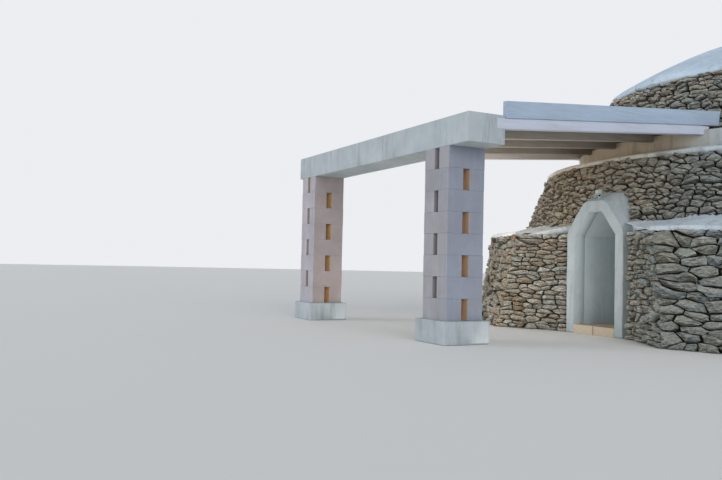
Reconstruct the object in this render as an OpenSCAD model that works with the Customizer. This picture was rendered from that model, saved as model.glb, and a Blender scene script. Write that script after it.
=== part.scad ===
// Trullo: a stepped dry-stone house with a corbelled round room, white plaster ledges and cap,
// a plastered portal set into the lower tier, and a lean-to pergola on two slotted block piers.
// Millimetres. The axis of the round house is Z, the ground is z = 0 and the portal faces -X.

/* [Lower tier] */
// Height of the lower tier's stones
lower_h = 1390; // [1250:10:1500]
// How far the lower tier leans in from the ground to the top of its stones
lower_batter = 230; // [150:10:300]
// Width of the white ledge on the lower tier
lower_ledge_w = 610; // [500:10:700]
// How far the lower ledge rises towards the middle tier
lower_ledge_rise = 200; // [150:10:260]
// Width and height of the plaster fillet between the lower ledge and the middle tier
lower_fillet = 95; // [60:5:100]

/* [Middle tier] */
// Height of the middle tier's stones above the lower ledge
middle_face_h = 830; // [700:10:950]
// How far the middle tier leans in from the lower ledge to the top of its stones
middle_batter = 310; // [200:10:360]
// Width of the white ledge on the middle tier
middle_ledge_w = 530; // [400:10:620]
// How far the middle ledge rises towards the ring
middle_ledge_rise = 140; // [80:10:200]

/* [Ring and upper tier] */
// Height of the plaster ring that carries the pergola joists
ring_t = 220; // [180:5:260]
// How far the ring stands out past the upper tier
ring_w = 230; // [180:10:280]
// Height of the upper tier's stones above the ring
upper_face_h = 880; // [700:10:1000]
// Thickness of the upper tier's wall at its foot, over the room's floor radius
upper_wall_t = 670; // [600:10:720]
// How far the upper tier leans in from the ring to the top of its stones
upper_batter = 190; // [120:10:240]

/* [Roof cap and ledges] */
// How far the cap's edge lies behind the edge of the upper tier's stones
cap_inset = 80; // [40:10:120]
// Height of the cap above the upper tier's stones
cap_rise = 1100; // [950:10:1200]
// Fullness of the cap's outline, 1 for a plain cone and 2 for a round bowl
cap_fullness = 1.64; // [1.3:0.02:2]
// Thickness of the cap's upright edge
cap_edge_t = 90; // [50:5:120]
// Thickness of the plaster at the outer edge of the ledges
plaster_t = 40; // [25:5:60]

/* [Round room] */
// Radius of the round room at its floor
room_r = 2350; // [2200:10:2500]
// Height above ground where the vault's courses start to step in
spring_h = 900; // [700:10:1100]
// Thickness of the cap and the closing stone over the vault's middle
closing_t = 530; // [450:10:600]
// Height of one stepped course of the vault
corbel_h = 260; // [200:10:400]
// Thickness of the floor slab
floor_t = 120; // [80:5:160]

/* [Portal] */
// Clear width of the doorway
door_w = 750; // [640:10:780]
// Height above ground where the doorway's sides start to lean in
door_shoulder_h = 1360; // [1300:10:1450]
// How far the doorway's sides lean in before they reach the flat head, measured upwards
door_lean_h = 325; // [280:5:380]
// Width of the doorway's flat head
door_head_w = 250; // [200:10:320]
// Width of the portal's plaster face beside and over the doorway
portal_rim = 150; // [120:5:170]
// How far the portal's face stands out past the middle tier's foot
portal_proud = 110; // [90:5:160]
// How far the portal's sides spread from its face back to the middle tier's foot
portal_spread = 50; // [30:5:55]
// Radius of the portal's rounded front edge
portal_round = 30; // [15:5:40]
// Thickness of the plaster lining of the passage
lining_t = 60; // [40:5:80]

/* [Entrance notch] */
// How far the stones beside the portal lie behind its face
notch_back = 45; // [35:5:60]
// How far each cheek of the notch flares out across the lower tier
notch_flare = 720; // [600:10:800]

/* [Portal lamp] */
// How far the lamp's middle stands behind the portal's face
lamp_back = 75; // [60:5:90]
// Height of the lamp's box above the front edge of the portal's head
lamp_rise = 80; // [70:5:95]
// Width of the lamp's box
lamp_w = 78; // [70:2:90]
// Radius of one lamp head
lamp_r = 19; // [15:1:20]
// Length of one lamp head
lamp_l = 58; // [45:1:60]

/* [Piers] */
// Side of a pier
pier_w = 500; // [460:10:540]
// Height of one course of pier blocks
course_h = 250; // [235:5:260]
// Width of the slot between the two blocks of a course
slot_w = 90; // [70:5:120]
// Height of a pier's plinth
plinth_h = 270; // [240:5:300]
// How far the plinth stands out past the pier
plinth_out = 65; // [40:5:90]
// Clear depth of the pergola, from the piers to the ring
pergola_l = 3180; // [2900:10:3400]
// Place across the house of the near pier's middle
near_pier_y = -260; // [-320:10:-200]
// Distance between the middles of the two piers
pier_span = 3740; // [3500:10:3900]

/* [Pergola] */
// Height of the header beam
header_t = 330; // [300:5:360]
// How far the header runs out past the near pier
header_near_out = 370; // [340:5:450]
// How far the header runs out past the far pier
header_far_out = 110; // [60:10:160]
// Height of the joists' seat above the piers
joist_seat_h = 180; // [150:5:190]
// Depth of a joist
joist_h = 120; // [100:5:130]
// Width of a joist
joist_w = 100; // [80:5:120]
// Length of a joist's end that is let into the header or the ring
joist_bearing_l = 110; // [80:5:140]
// Depth of the deepest joist pocket in the ring
pocket_depth = 75; // [72:1:100]
// Distance from one joist to the next
joist_gap = 730; // [700:5:740]
// Height of the front board
board_h = 195; // [150:5:240]
// Thickness of the front board
board_t = 60; // [40:5:80]
// How far the front board stands proud of the first joist
board_lip = 20; // [10:5:30]
// Thickness of the roof deck
deck_t = 25; // [18:1:40]

/* [Hidden] */
$fn = 720;

// Number of stretches that each tier's ring is built in, counted round from the portal
lower_parts = 6;
middle_parts = 8;
upper_parts = 6;
// Number of block courses in a pier, and of joists in the pergola
courses = 8;
joists = 5;
// Azimuth of the portal, seen from above
portal_turn = 180;
// Length by which a cutting tool runs past what it cuts
past = 400;

// Colours as the photograph shows them
stone_colour = [0.55, 0.51, 0.46];
plaster_colour = [0.93, 0.92, 0.90];
block_colour = [0.78, 0.78, 0.80];
slab_colour = [0.74, 0.68, 0.58];
lamp_colour = [0.35, 0.35, 0.36];

// Radii of the tiers, from the room outwards
upper_foot_r = room_r + upper_wall_t;
upper_top_r = upper_foot_r - upper_batter;
cap_r = upper_top_r - cap_inset;
ring_r = upper_foot_r + ring_w;
middle_top_r = ring_r + middle_ledge_w;
middle_foot_r = middle_top_r + middle_batter;
lower_top_r = middle_foot_r + lower_ledge_w;
lower_foot_r = lower_top_r + lower_batter;

// Heights above ground, from the lower tier upwards
ledge_h = lower_h + lower_ledge_rise;
middle_h = ledge_h + middle_face_h;
ring_foot_h = middle_h + middle_ledge_rise;
ring_h = ring_foot_h + ring_t;
upper_h = ring_h + upper_face_h;
cap_h = upper_h + cap_rise;
vault_h = cap_h - closing_t;

// Portal, notch and lamp
door_head_h = door_shoulder_h + door_lean_h;
passage_w = door_w + 2 * lining_t;
portal_face_x = middle_foot_r + portal_proud;
notch_in_w = door_w / 2 + portal_rim;
notch_out_w = notch_in_w + notch_flare;
portal_h = door_head_h + portal_rim;

// Piers, header, joists and board
pier_x = ring_r + pergola_l;
far_pier_y = near_pier_y + pier_span;
pier_top_h = plinth_h + courses * course_h;
joist_foot_h = pier_top_h + joist_seat_h;
joist_slope = (ring_h - pocket_depth - joist_foot_h) / (pier_x - ring_r);
header_near_y = near_pier_y - pier_w / 2 - header_near_out;
header_far_y = far_pier_y + pier_w / 2 + header_far_out;
first_joist_y = header_near_y + joist_w / 2;
board_y = header_near_y - board_lip;
deck_end_y = joist_y(joists) + joist_w / 2;

// Place across the house of joist i, counted from 1
function joist_y(i) = first_joist_y + (i - 1) * joist_gap;
// Distance from the axis plane at which a circle of radius r lies, y away from the middle
function chord_x(r, y) = sqrt(r * r - y * y);
// Height of the joists' lower plane at distance x from the house axis
function joist_plane(x) = joist_foot_h + joist_slope * (pier_x - x);
// Distance from the axis at which joist i starts to lie flat on the ring
function joist_flat_x(i) = chord_x(ring_r, max(0, abs(joist_y(i)) - joist_w / 2)) + joist_w / 2;
// Distance from the axis at which joist i ends, let into the ring
function joist_end_x(i) = chord_x(ring_r - joist_bearing_l, abs(joist_y(i)));

// Radius of the vault at height z: upright below the springing, a quarter ellipse above it
function vault_r(z) = z < spring_h ? room_r
    : room_r * sqrt(1 - pow((z - spring_h) / (vault_h - spring_h), 2));
// Height of the middle of the vault course that holds height z
function course_middle(z) = spring_h + (floor((z - spring_h) / corbel_h) + 0.5) * corbel_h;
// Radius of the vault's stepped course at height z
function corbel_r(z) = z < spring_h ? room_r : vault_r(min(course_middle(z), vault_h - corbel_h / 4));
// Heights at which the vault's inner face steps between z0 and z1
function vault_levels(z0, z1) = concat([z0],
    [for (z = [spring_h : corbel_h : vault_h]) if (z > z0 + 1 && z < z1 - 1) z], [z1]);
// Points down the vault's inner face from height z1 to height z0
function vault_points(z0, z1) = let (l = vault_levels(z0, z1), n = len(l) - 1)
    [for (i = [n : -1 : 1], k = [0, 1]) [corbel_r((l[i] + l[i - 1]) / 2), l[i - k]]];

// Outline of the doorway grown by g: upright sides, leaning shoulders and a flat head
function arch(g, foot = 0) = let (
    lean = atan2((door_w - door_head_w) / 2, door_head_h - door_shoulder_h),
    side = door_w / 2 + g,
    shoulder = door_shoulder_h + g * tan(lean / 2),
    head = door_head_w / 2 + g * tan(45 - lean / 2))
    [[-side, foot], [side, foot], [side, shoulder], [head, door_head_h + g],
     [-head, door_head_h + g], [-side, shoulder]];

// Turned solid of a stretch of ring, from angle a through b degrees
module ring_part(points, a, b) {
    rotate([0, 0, a]) rotate_extrude(angle = b) polygon(points);
}

// One of n equal stretches of a ring, counted round from the portal
module stretch(points, i, n) {
    ring_part(points, portal_turn + (i - 1) * 360 / n, 360 / n);
}

// Bar along X from x0 to x1 with the outline given across it
module along_x(x0, x1, points) {
    translate([x0, 0, 0]) rotate([90, 0, 90]) linear_extrude(x1 - x0) polygon(points);
}

// Bar along Y from y0 to y1 with the outline given in X and Z
module along_y(y0, y1, points) {
    translate([0, y1, 0]) rotate([90, 0, 0]) linear_extrude(y1 - y0) polygon(points);
}

// Flared notch that opens the lower tier in front of the portal, with the portal's own place
module notch_tool() {
    x_in = portal_face_x - notch_back;
    x_out = chord_x(lower_top_r, notch_out_w);
    x_end = lower_foot_r + past;
    w_end = notch_in_w + notch_flare * (x_end - x_in) / (x_out - x_in);
    translate([0, 0, -past]) linear_extrude(ledge_h + 2 * past)
        polygon([[-x_in, -notch_in_w], [-x_in, notch_in_w], [-x_end, w_end], [-x_end, -w_end]]);
    portal_body(-past);
}

// Solid drum of the middle tier, used to seat what stands against it
module middle_drum() {
    rotate_extrude() polygon([[0, -past], [middle_foot_r, -past], [middle_foot_r, ledge_h],
        [middle_top_r, middle_h], [0, middle_h]]);
}

// Solid drum of the upper tier, used to end the deck and the front board against it
module upper_drum() {
    rotate_extrude() polygon([[0, ring_h - past], [upper_foot_r, ring_h - past],
        [upper_foot_r, ring_h], [upper_top_r, upper_h], [0, upper_h]]);
}

// Upright strip of the passage, as wide as its lining, from the axis out past the walls
module passage_strip() {
    translate([-portal_face_x - past, -passage_w / 2, -past])
        cube([portal_face_x + past, passage_w, middle_h + 2 * past]);
}

// Outline of the middle tier's wall, from its battered face to the stepped room
middle_points = concat([[middle_foot_r, 0], [middle_foot_r, ledge_h], [middle_top_r, middle_h]],
    vault_points(0, middle_h));

// Stretch i of the lower tier's battered ring of dry stone
module lower_wall(i) {
    color(stone_colour) difference() {
        stretch([[middle_foot_r, 0], [lower_foot_r, 0], [lower_top_r, lower_h],
            [middle_foot_r, lower_h]], i, lower_parts);
        if (i == 1 || i == lower_parts) notch_tool();
    }
}

// White ledge on top of the lower tier, with a fillet against the middle tier
module lower_ledge() {
    color(plaster_colour) difference() {
        rotate_extrude() polygon([[middle_foot_r, lower_h], [lower_top_r, lower_h],
            [lower_top_r, lower_h + plaster_t],
            [middle_foot_r + lower_fillet, ledge_h - lower_fillet], [middle_foot_r, ledge_h]]);
        notch_tool();
    }
}

// Stretch i of the middle tier's wall, split at the passage
module middle_wall(i) {
    color(stone_colour) difference() {
        stretch(middle_points, i, middle_parts);
        if (i == 1 || i == middle_parts) passage_strip();
    }
}

// Masonry over the passage, between the stretches beside it
module door_head() {
    span = 2 * asin(passage_w / room_r);
    color(stone_colour) difference() {
        intersection() {
            ring_part(middle_points, portal_turn - span / 2, span);
            passage_strip();
        }
        along_x(-portal_face_x - past, 0, arch(lining_t, -past));
    }
}

// White sloping ledge on top of the middle tier
module middle_ledge() {
    color(plaster_colour) rotate_extrude() polygon([[upper_foot_r, middle_h],
        [middle_top_r, middle_h], [middle_top_r, middle_h + plaster_t],
        [ring_r, ring_foot_h], [upper_foot_r, ring_foot_h]]);
}

// Plaster ring with a pocket for the end of each joist
module joist_ring() {
    color(plaster_colour) difference() {
        rotate_extrude() polygon([[upper_foot_r, ring_foot_h], [ring_r, ring_foot_h],
            [ring_r, ring_h], [upper_foot_r, ring_h]]);
        for (i = [1 : joists])
            translate([-ring_r - past, joist_y(i) - joist_w / 2, joist_plane(joist_flat_x(i))])
                cube([ring_r + past - joist_end_x(i), joist_w, past]);
    }
}

// Stretch i of the upper tier's wall
module upper_wall(i) {
    color(stone_colour) stretch(concat([[upper_foot_r, middle_h], [upper_foot_r, ring_h],
        [upper_top_r, upper_h]], vault_points(middle_h, upper_h)), i, upper_parts);
}

// White rounded cap over the vault's top
module roof_cap() {
    steps = 14;
    edge_h = upper_h + cap_edge_t;
    outer = [for (i = [0 : steps]) let (r = cap_r * (1 - i / steps))
        [r, edge_h + (cap_h - edge_h) * (1 - pow(r / cap_r, cap_fullness))]];
    color(plaster_colour) rotate_extrude()
        polygon(concat([[cap_r, upper_h]], outer, [[0, vault_h]], vault_points(upper_h, vault_h)));
}

// Portal without its doorway: a rounded front edge, and sides that spread back to the wall
module portal_body(foot = 0) {
    depth = portal_face_x - middle_top_r;
    hull() {
        for (a = [0 : 30 : 90])
            translate([portal_round * (1 - cos(a)) - portal_face_x, 0, 0])
                along_x(0, 1, arch(portal_rim - portal_round * (1 - sin(a)), foot));
        translate([-middle_top_r, 0, 0])
            along_x(0, 1, arch(portal_rim + portal_spread * depth / portal_proud, foot));
    }
}

// Plaster portal with leaning shoulders, standing against the middle tier in the notch
module portal() {
    color(plaster_colour) difference() {
        portal_body();
        along_x(-portal_face_x - past, 0, arch(0, -past));
        middle_drum();
    }
}

// Plaster lining of the passage through the thick wall
module passage_lining() {
    span = 2 * asin(passage_w / room_r);
    color(plaster_colour) intersection() {
        ring_part(middle_points, portal_turn - span / 2, span);
        difference() {
            along_x(-portal_face_x, 0, arch(lining_t));
            along_x(-portal_face_x - past, past, arch(0, -past));
        }
    }
}

// Stone sill and passage floor, from the portal's face to the room
module threshold() {
    color(slab_colour) difference() {
        translate([-portal_face_x, -door_w / 2, 0]) cube([portal_face_x, door_w, floor_t]);
        translate([0, 0, -past]) cylinder(r = room_r, h = floor_t + 2 * past);
    }
}

// Round floor slab of the room
module room_floor() {
    color(slab_colour) cylinder(r = room_r, h = floor_t);
}

// Square plinth of a pier whose middle is at y
module plinth(y) {
    w = pier_w + 2 * plinth_out;
    color(block_colour) translate([-pier_x - pier_w / 2 - w / 2, y - w / 2, 0])
        cube([w, w, plinth_h]);
}

// Pier of paired blocks: each course has a slot through it, turned a quarter from the last
module pier(y) {
    color(block_colour) translate([-pier_x - pier_w / 2, y, plinth_h]) difference() {
        translate([-pier_w / 2, -pier_w / 2, 0]) cube([pier_w, pier_w, courses * course_h]);
        for (k = [0 : courses - 1])
            translate([0, 0, k * course_h]) rotate([0, 0, k % 2 == 0 ? 0 : 90])
                translate([-slot_w / 2, -pier_w / 2 - past, 0])
                    cube([slot_w, pier_w + 2 * past, course_h]);
    }
}

// Header beam over both piers, with a pocket for the foot of each joist
module header_beam() {
    color(plaster_colour) difference() {
        translate([-pier_x - pier_w, header_near_y, pier_top_h])
            cube([pier_w, header_far_y - header_near_y, header_t]);
        for (i = [1 : joists])
            translate([-pier_x - joist_bearing_l, joist_y(i) - joist_w / 2, joist_foot_h])
                cube([joist_bearing_l + past, joist_w, joist_h]);
    }
}

// Joist i: level in the header's pocket, rising to the ring, and level again on its seat
module joist(i) {
    flat = joist_flat_x(i);
    top = joist_plane(flat) + joist_h;
    color(plaster_colour) along_y(joist_y(i) - joist_w / 2, joist_y(i) + joist_w / 2,
        [[-pier_x - joist_bearing_l, joist_foot_h], [-pier_x, joist_foot_h],
         [-flat, joist_plane(flat)], [-joist_end_x(i), joist_plane(flat)],
         [-joist_end_x(i), top], [-flat, top], [-pier_x, joist_foot_h + joist_h],
         [-pier_x - joist_bearing_l, joist_foot_h + joist_h]]);
}

// Sloping bar on the joists' upper plane, t thick, from the header to the upper tier
module on_joists(y0, y1, t) {
    difference() {
        along_y(y0, y1, [[-pier_x, joist_foot_h + joist_h], [0, joist_plane(0) + joist_h],
            [0, joist_plane(0) + joist_h + t], [-pier_x, joist_foot_h + joist_h + t]]);
        upper_drum();
        translate([-upper_top_r / 2, y0 - past, 0])
            cube([upper_top_r, y1 - y0 + 2 * past, upper_h + past]);
    }
}

// Tall board along the front of the pergola's roof, standing on the first joist
module front_board() {
    color(plaster_colour) on_joists(board_y, board_y + board_t, board_h);
}

// Boarded deck of the pergola's roof
module roof_deck() {
    color(plaster_colour) on_joists(board_y + board_t, deck_end_y, deck_t);
}

// Small lamp on the portal's head: a box on a stem, over two heads that look forward and down
module portal_lamp() {
    box_h = portal_h + lamp_rise;
    color(lamp_colour) translate([lamp_back - portal_face_x, 0, 0]) difference() {
        union() {
            translate([-lamp_w / 3, -lamp_w / 2, box_h]) cube([2 * lamp_w / 3, lamp_w, lamp_w * 0.8]);
            translate([0, -lamp_w / 6, portal_h]) cube([lamp_w / 3, lamp_w / 3, lamp_rise + 1]);
            for (side = [-1, 1])
                translate([0, side * lamp_w / 4, box_h])
                    rotate([0, -125, 0]) cylinder(r = lamp_r, h = lamp_l, $fn = 48);
        }
        translate([portal_face_x - lamp_back, 0, 0]) portal_body();
    }
}

lower_wall(1);  // lower_wall_1
lower_wall(2);  // lower_wall_2
lower_wall(3);  // lower_wall_3
lower_wall(4);  // lower_wall_4
lower_wall(5);  // lower_wall_5
lower_wall(6);  // lower_wall_6
lower_ledge();
middle_wall(1);  // middle_wall_1
middle_wall(2);  // middle_wall_2
middle_wall(3);  // middle_wall_3
middle_wall(4);  // middle_wall_4
middle_wall(5);  // middle_wall_5
middle_wall(6);  // middle_wall_6
middle_wall(7);  // middle_wall_7
middle_wall(8);  // middle_wall_8
door_head();
middle_ledge();
joist_ring();
upper_wall(1);  // upper_wall_1
upper_wall(2);  // upper_wall_2
upper_wall(3);  // upper_wall_3
upper_wall(4);  // upper_wall_4
upper_wall(5);  // upper_wall_5
upper_wall(6);  // upper_wall_6
roof_cap();
portal();
passage_lining();
threshold();
room_floor();
portal_lamp();
plinth(near_pier_y);  // near_pier_plinth
pier(near_pier_y);  // near_pier_shaft
plinth(far_pier_y);  // far_pier_plinth
pier(far_pier_y);  // far_pier_shaft
header_beam();
joist(1);  // joist_1
joist(2);  // joist_2
joist(3);  // joist_3
joist(4);  // joist_4
joist(5);  // joist_5
front_board();
roof_deck();
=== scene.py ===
"""Finish of the stepped drystone trullo: stones, plaster, sawn blocks and painted timber over the frame.

All sizes are in metres and come from the frame. The house axis is Z and the portal faces -X.
"""
import logging
import math
from dataclasses import dataclass, field, replace
from enum import Enum
from typing import Callable

import bmesh
import bpy
import numpy as np
from mathutils import Matrix, Vector


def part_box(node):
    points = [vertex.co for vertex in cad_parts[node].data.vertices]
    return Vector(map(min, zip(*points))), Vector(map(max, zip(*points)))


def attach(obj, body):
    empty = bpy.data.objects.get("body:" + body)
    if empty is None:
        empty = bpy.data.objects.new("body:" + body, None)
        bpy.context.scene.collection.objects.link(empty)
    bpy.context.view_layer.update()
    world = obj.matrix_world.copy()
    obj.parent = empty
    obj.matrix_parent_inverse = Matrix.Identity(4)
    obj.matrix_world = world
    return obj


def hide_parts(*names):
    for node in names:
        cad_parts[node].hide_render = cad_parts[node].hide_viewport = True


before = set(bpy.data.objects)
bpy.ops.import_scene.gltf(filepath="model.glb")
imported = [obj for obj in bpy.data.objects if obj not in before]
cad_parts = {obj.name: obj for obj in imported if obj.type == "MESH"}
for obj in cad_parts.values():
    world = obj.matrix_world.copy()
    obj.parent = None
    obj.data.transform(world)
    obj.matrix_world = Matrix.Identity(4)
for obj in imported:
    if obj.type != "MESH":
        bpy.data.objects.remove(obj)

logging.basicConfig(level=logging.INFO, format="%(message)s")
log = logging.getLogger("trullo")

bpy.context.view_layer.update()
BODY = "root"
TURN = 2.0 * math.pi
PORTAL_AZIMUTH = math.pi
# Points of a node this near a height, or an edge, count as lying on it
ON_LEVEL = 0.002
ON_EDGE = 0.001
Pair = tuple[float, float]
Triple = tuple[float, float, float]
Colour = tuple[float, float, float, float]
Array = np.ndarray
Material = bpy.types.Material
Node = bpy.types.Node
Outputs = bpy.types.NodeOutputs
Piece = bpy.types.Object
Socket = bpy.types.NodeSocket
Tree = bpy.types.NodeTree
Mapper = Callable[[Array, Array, Array], Array]


class Slot(Enum):
    """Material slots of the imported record."""

    STONE = "dry_stone"
    PLASTER = "plaster"
    BLOCK = "tufa_block"
    TIMBER = "painted_timber"
    LAMP = "lamp_metal"


class Grain(Enum):
    """Direction in which timber or brush marks run, as stretching factors along X, Y and Z."""

    ALONG_X = (1.0, 14.0, 14.0)
    ALONG_Y = (14.0, 1.0, 14.0)
    ALONG_Z = (14.0, 14.0, 1.0)


def tone(red: int, green: int, blue: int) -> Colour:
    """Turns a display colour into the linear colour that the shaders use, by the sRGB formula.

    Args:
        red: Display red from 0 to 255.
        green: Display green from 0 to 255.
        blue: Display blue from 0 to 255.

    Returns:
        The linear colour with an opaque alpha.
    """
    linear = [c / 12.92 if c <= 0.04045 else ((c + 0.055) / 1.055) ** 2.4
              for c in (red / 255, green / 255, blue / 255)]
    return (*linear, 1.0)


class Sketch:
    """Adds nodes to one tree and joins them, so that a material reads as a list of steps."""

    def __init__(self, tree: Tree) -> None:
        """Keeps the tree that the steps go into."""
        self.tree = tree

    def add(self, kind: str, props: dict | None = None, **inputs: object) -> Node:
        """Adds a node and fills its inputs.

        Args:
            kind: Blender's type name of the node, without "ShaderNode".
            props: Settings of the node itself.
            **inputs: Value or socket for each input; an underscore stands for a space, and n3 for the fourth.

        Returns:
            The new node.
        """
        node = self.tree.nodes.new("ShaderNode" + kind)
        for name, value in (props or {}).items():
            setattr(node, name, value)
        for name, value in inputs.items():
            key = int(name[1:]) if name[0] == "n" and name[1:].isdigit() else name.replace("_", " ")
            self.feed(node.inputs[key], value)
        return node

    def feed(self, socket: Socket, value: object) -> None:
        """Gives a socket its value.

        Args:
            socket: The input to fill.
            value: Another node's output, which is linked, or a plain value.
        """
        if isinstance(value, Socket):
            self.tree.links.new(value, socket)
        else:
            socket.default_value = value

    def noise(self, vector: object, scale: object, detail: float, rough: float) -> Socket:
        """Adds a noise texture and returns its factor."""
        made = self.add("TexNoise", Vector=vector, Scale=scale, Detail=detail, Roughness=rough)
        return made.outputs["Fac"]

    def spread(self, value: object, low: float, high: float, to_low: float = 0.0,
               to_high: float = 1.0) -> Socket:
        """Stretches the range low to high over to_low to to_high and returns the result."""
        made = self.add("MapRange", Value=value, From_Min=low, From_Max=high, To_Min=to_low, To_Max=to_high)
        return made.outputs["Result"]

    def maths(self, operation: str, first: object, second: object) -> Socket:
        """Adds a Math node and returns its value."""
        return self.add("Math", {"operation": operation}, n0=first, n1=second).outputs[0]

    def product(self, first: object, second: object) -> Socket:
        """Adds a Math node that multiplies, and returns its value."""
        return self.maths("MULTIPLY", first, second)

    def blend(self, share: object, first: object, second: object, mode: str = "MIX") -> Socket:
        """Mixes two colours by the second one's share, in a way that Blender names, and returns the mix."""
        props = {"data_type": "RGBA", "blend_type": mode}
        return self.add("Mix", props, n0=share, n6=first, n7=second).outputs[2]

    def reads(self, name: str) -> Socket:
        """Adds an Attribute node and returns the number that a mesh stores under a name."""
        return self.add("Attribute", {"attribute_name": name}).outputs["Fac"]

    def stretched(self, place: object, factors: Triple) -> Socket:
        """Adds a Mapping node that scales coordinates along X, Y and Z, and returns them."""
        return self.add("Mapping", Vector=place, Scale=factors).outputs["Vector"]

    def part(self, vector: object, axis: str) -> Socket:
        """Takes the X, Y or Z of a vector."""
        return self.add("SeparateXYZ", Vector=vector).outputs[axis]


def new_group(name: str, inputs: dict[str, float | None],
              outputs: tuple[str, ...]) -> tuple[Tree, Sketch, Outputs, bpy.types.NodeInputs]:
    """Starts a shader node group with named sockets.

    Args:
        name: Name of the group.
        inputs: Default of each number input, or None for a vector.
        outputs: Names of the number outputs.

    Returns:
        The group, a sketch of it, and the sockets that give its inputs and take its outputs, by name.
    """
    group = bpy.data.node_groups.new(name, "ShaderNodeTree")
    for label, default in inputs.items():
        kind = "NodeSocketVector" if default is None else "NodeSocketFloat"
        made = group.interface.new_socket(name=label, in_out="INPUT", socket_type=kind)
        if default is not None:
            made.default_value = default
    for label in outputs:
        group.interface.new_socket(name=label, in_out="OUTPUT", socket_type="NodeSocketFloat")
    source, target = group.nodes.new("NodeGroupInput"), group.nodes.new("NodeGroupOutput")
    return group, Sketch(group), source.outputs, target.inputs


class Effects:
    """Shader node groups that several finishes share, each built once."""

    def __init__(self) -> None:
        """Builds the groups."""
        self.weather = self._weather()
        self.pitting = self._pitting()
        self.strokes = self._strokes()
        self.shelter = self._shelter()

    def _weather(self) -> Tree:
        """Broad patches broken up by a finer noise, for colour that drifts over a surface.

        Returns:
            The group.
        """
        group, on, given, result = new_group(
            "weather", {"Vector": None, "Patch Scale": 1.2, "Grain Scale": 18.0}, ("Patches", "Grain"))
        broad = on.noise(given["Vector"], given["Patch Scale"], 5.0, 0.6)
        fine = on.noise(given["Vector"], given["Grain Scale"], 6.0, 0.65)
        on.feed(result["Patches"], on.spread(broad, 0.34, 0.66))
        on.feed(result["Grain"], on.spread(fine, 0.28, 0.72))
        return group

    def _pitting(self) -> Tree:
        """Small hollows scattered over a rough face: a height from 0 to 1, and a mask of the hollows.

        The height is a noise, less the hollows and less the distance to the middle of a wide cell.

        Returns:
            The group.
        """
        group, on, given, result = new_group(
            "pitting",
            {"Vector": None, "Pit Scale": 40.0, "Rough Scale": 12.0, "Pit Share": 0.5, "Chip Share": 0.0},
            ("Height", "Pits"))
        drift = on.add("TexNoise", Vector=given["Vector"], Scale=given["Rough Scale"], Detail=7.0,
                       Roughness=0.62)
        moved = on.add("VectorMath", {"operation": "SCALE"}, n0=drift.outputs["Color"], Scale=0.03)
        bent = on.add("VectorMath", {"operation": "ADD"}, n0=given["Vector"], n1=moved.outputs["Vector"])
        cells = on.add("TexVoronoi", Vector=bent.outputs["Vector"], Scale=given["Pit Scale"])
        pits = on.spread(cells.outputs["Distance"], 0.08, 0.30, 1.0, 0.0)
        some = on.noise(given["Vector"], given["Rough Scale"], 2.0, 0.5)
        kept = on.product(pits, on.spread(some, 0.45, 0.6))
        shared = on.product(kept, given["Pit Share"])
        wide = on.product(given["Pit Scale"], 0.4)
        chips = on.add("TexVoronoi", Vector=bent.outputs["Vector"], Scale=wide)
        struck = on.product(chips.outputs["Distance"], given["Chip Share"])
        height = on.maths("SUBTRACT", drift.outputs["Fac"], on.product(shared, 0.35))
        on.feed(result["Height"], on.maths("SUBTRACT", height, struck))
        on.feed(result["Pits"], shared)
        return group

    def _shelter(self) -> Tree:
        """How far a place on the house lies under the pergola's roof: 1 under it, fading over a metre.

        It is the product of a ramp for each edge of the roof, for the given foot, and for the joists' height.
        A ramp's two numbers are where it starts and where it is full, in metres.

        Returns:
            The group.
        """
        group, on, given, result = new_group("shelter", {"Vector": None, "Foot Height": 1.2}, ("Mask",))
        x, y, z = on.add("SeparateXYZ", Vector=given["Vector"]).outputs
        front = on.product(on.spread(x, -1.4, -2.6), on.spread(x, -5.4, -4.8))
        across = on.product(on.spread(y, -1.4, -0.3), on.spread(y, 2.7, 1.5))
        lifted = on.maths("SUBTRACT", z, given["Foot Height"])
        below = on.product(on.spread(lifted, 0.0, 0.4), on.spread(z, 2.90, 2.84))
        on.feed(result["Mask"], on.product(on.product(front, across), below))
        return group

    def _strokes(self) -> Tree:
        """Long fine marks along one direction, as of a brush, a saw or timber grain.

        Returns:
            The group.
        """
        group, on, given, result = new_group(
            "strokes", {"Vector": None, "Mark Scale": 3.0, "Bend": 0.4}, ("Marks", "Height"))
        broad = on.add("TexNoise", Vector=given["Vector"], Scale=given["Mark Scale"], Detail=5.0,
                       Roughness=0.6, Distortion=given["Bend"])
        fine = on.noise(given["Vector"], on.product(given["Mark Scale"], 4.2), 3.0, 0.7)
        both = on.maths("ADD", on.product(broad.outputs["Fac"], 0.65), on.product(fine, 0.35))
        on.feed(result["Marks"], on.spread(both, 0.38, 0.62))
        on.feed(result["Height"], both)
        return group


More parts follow.
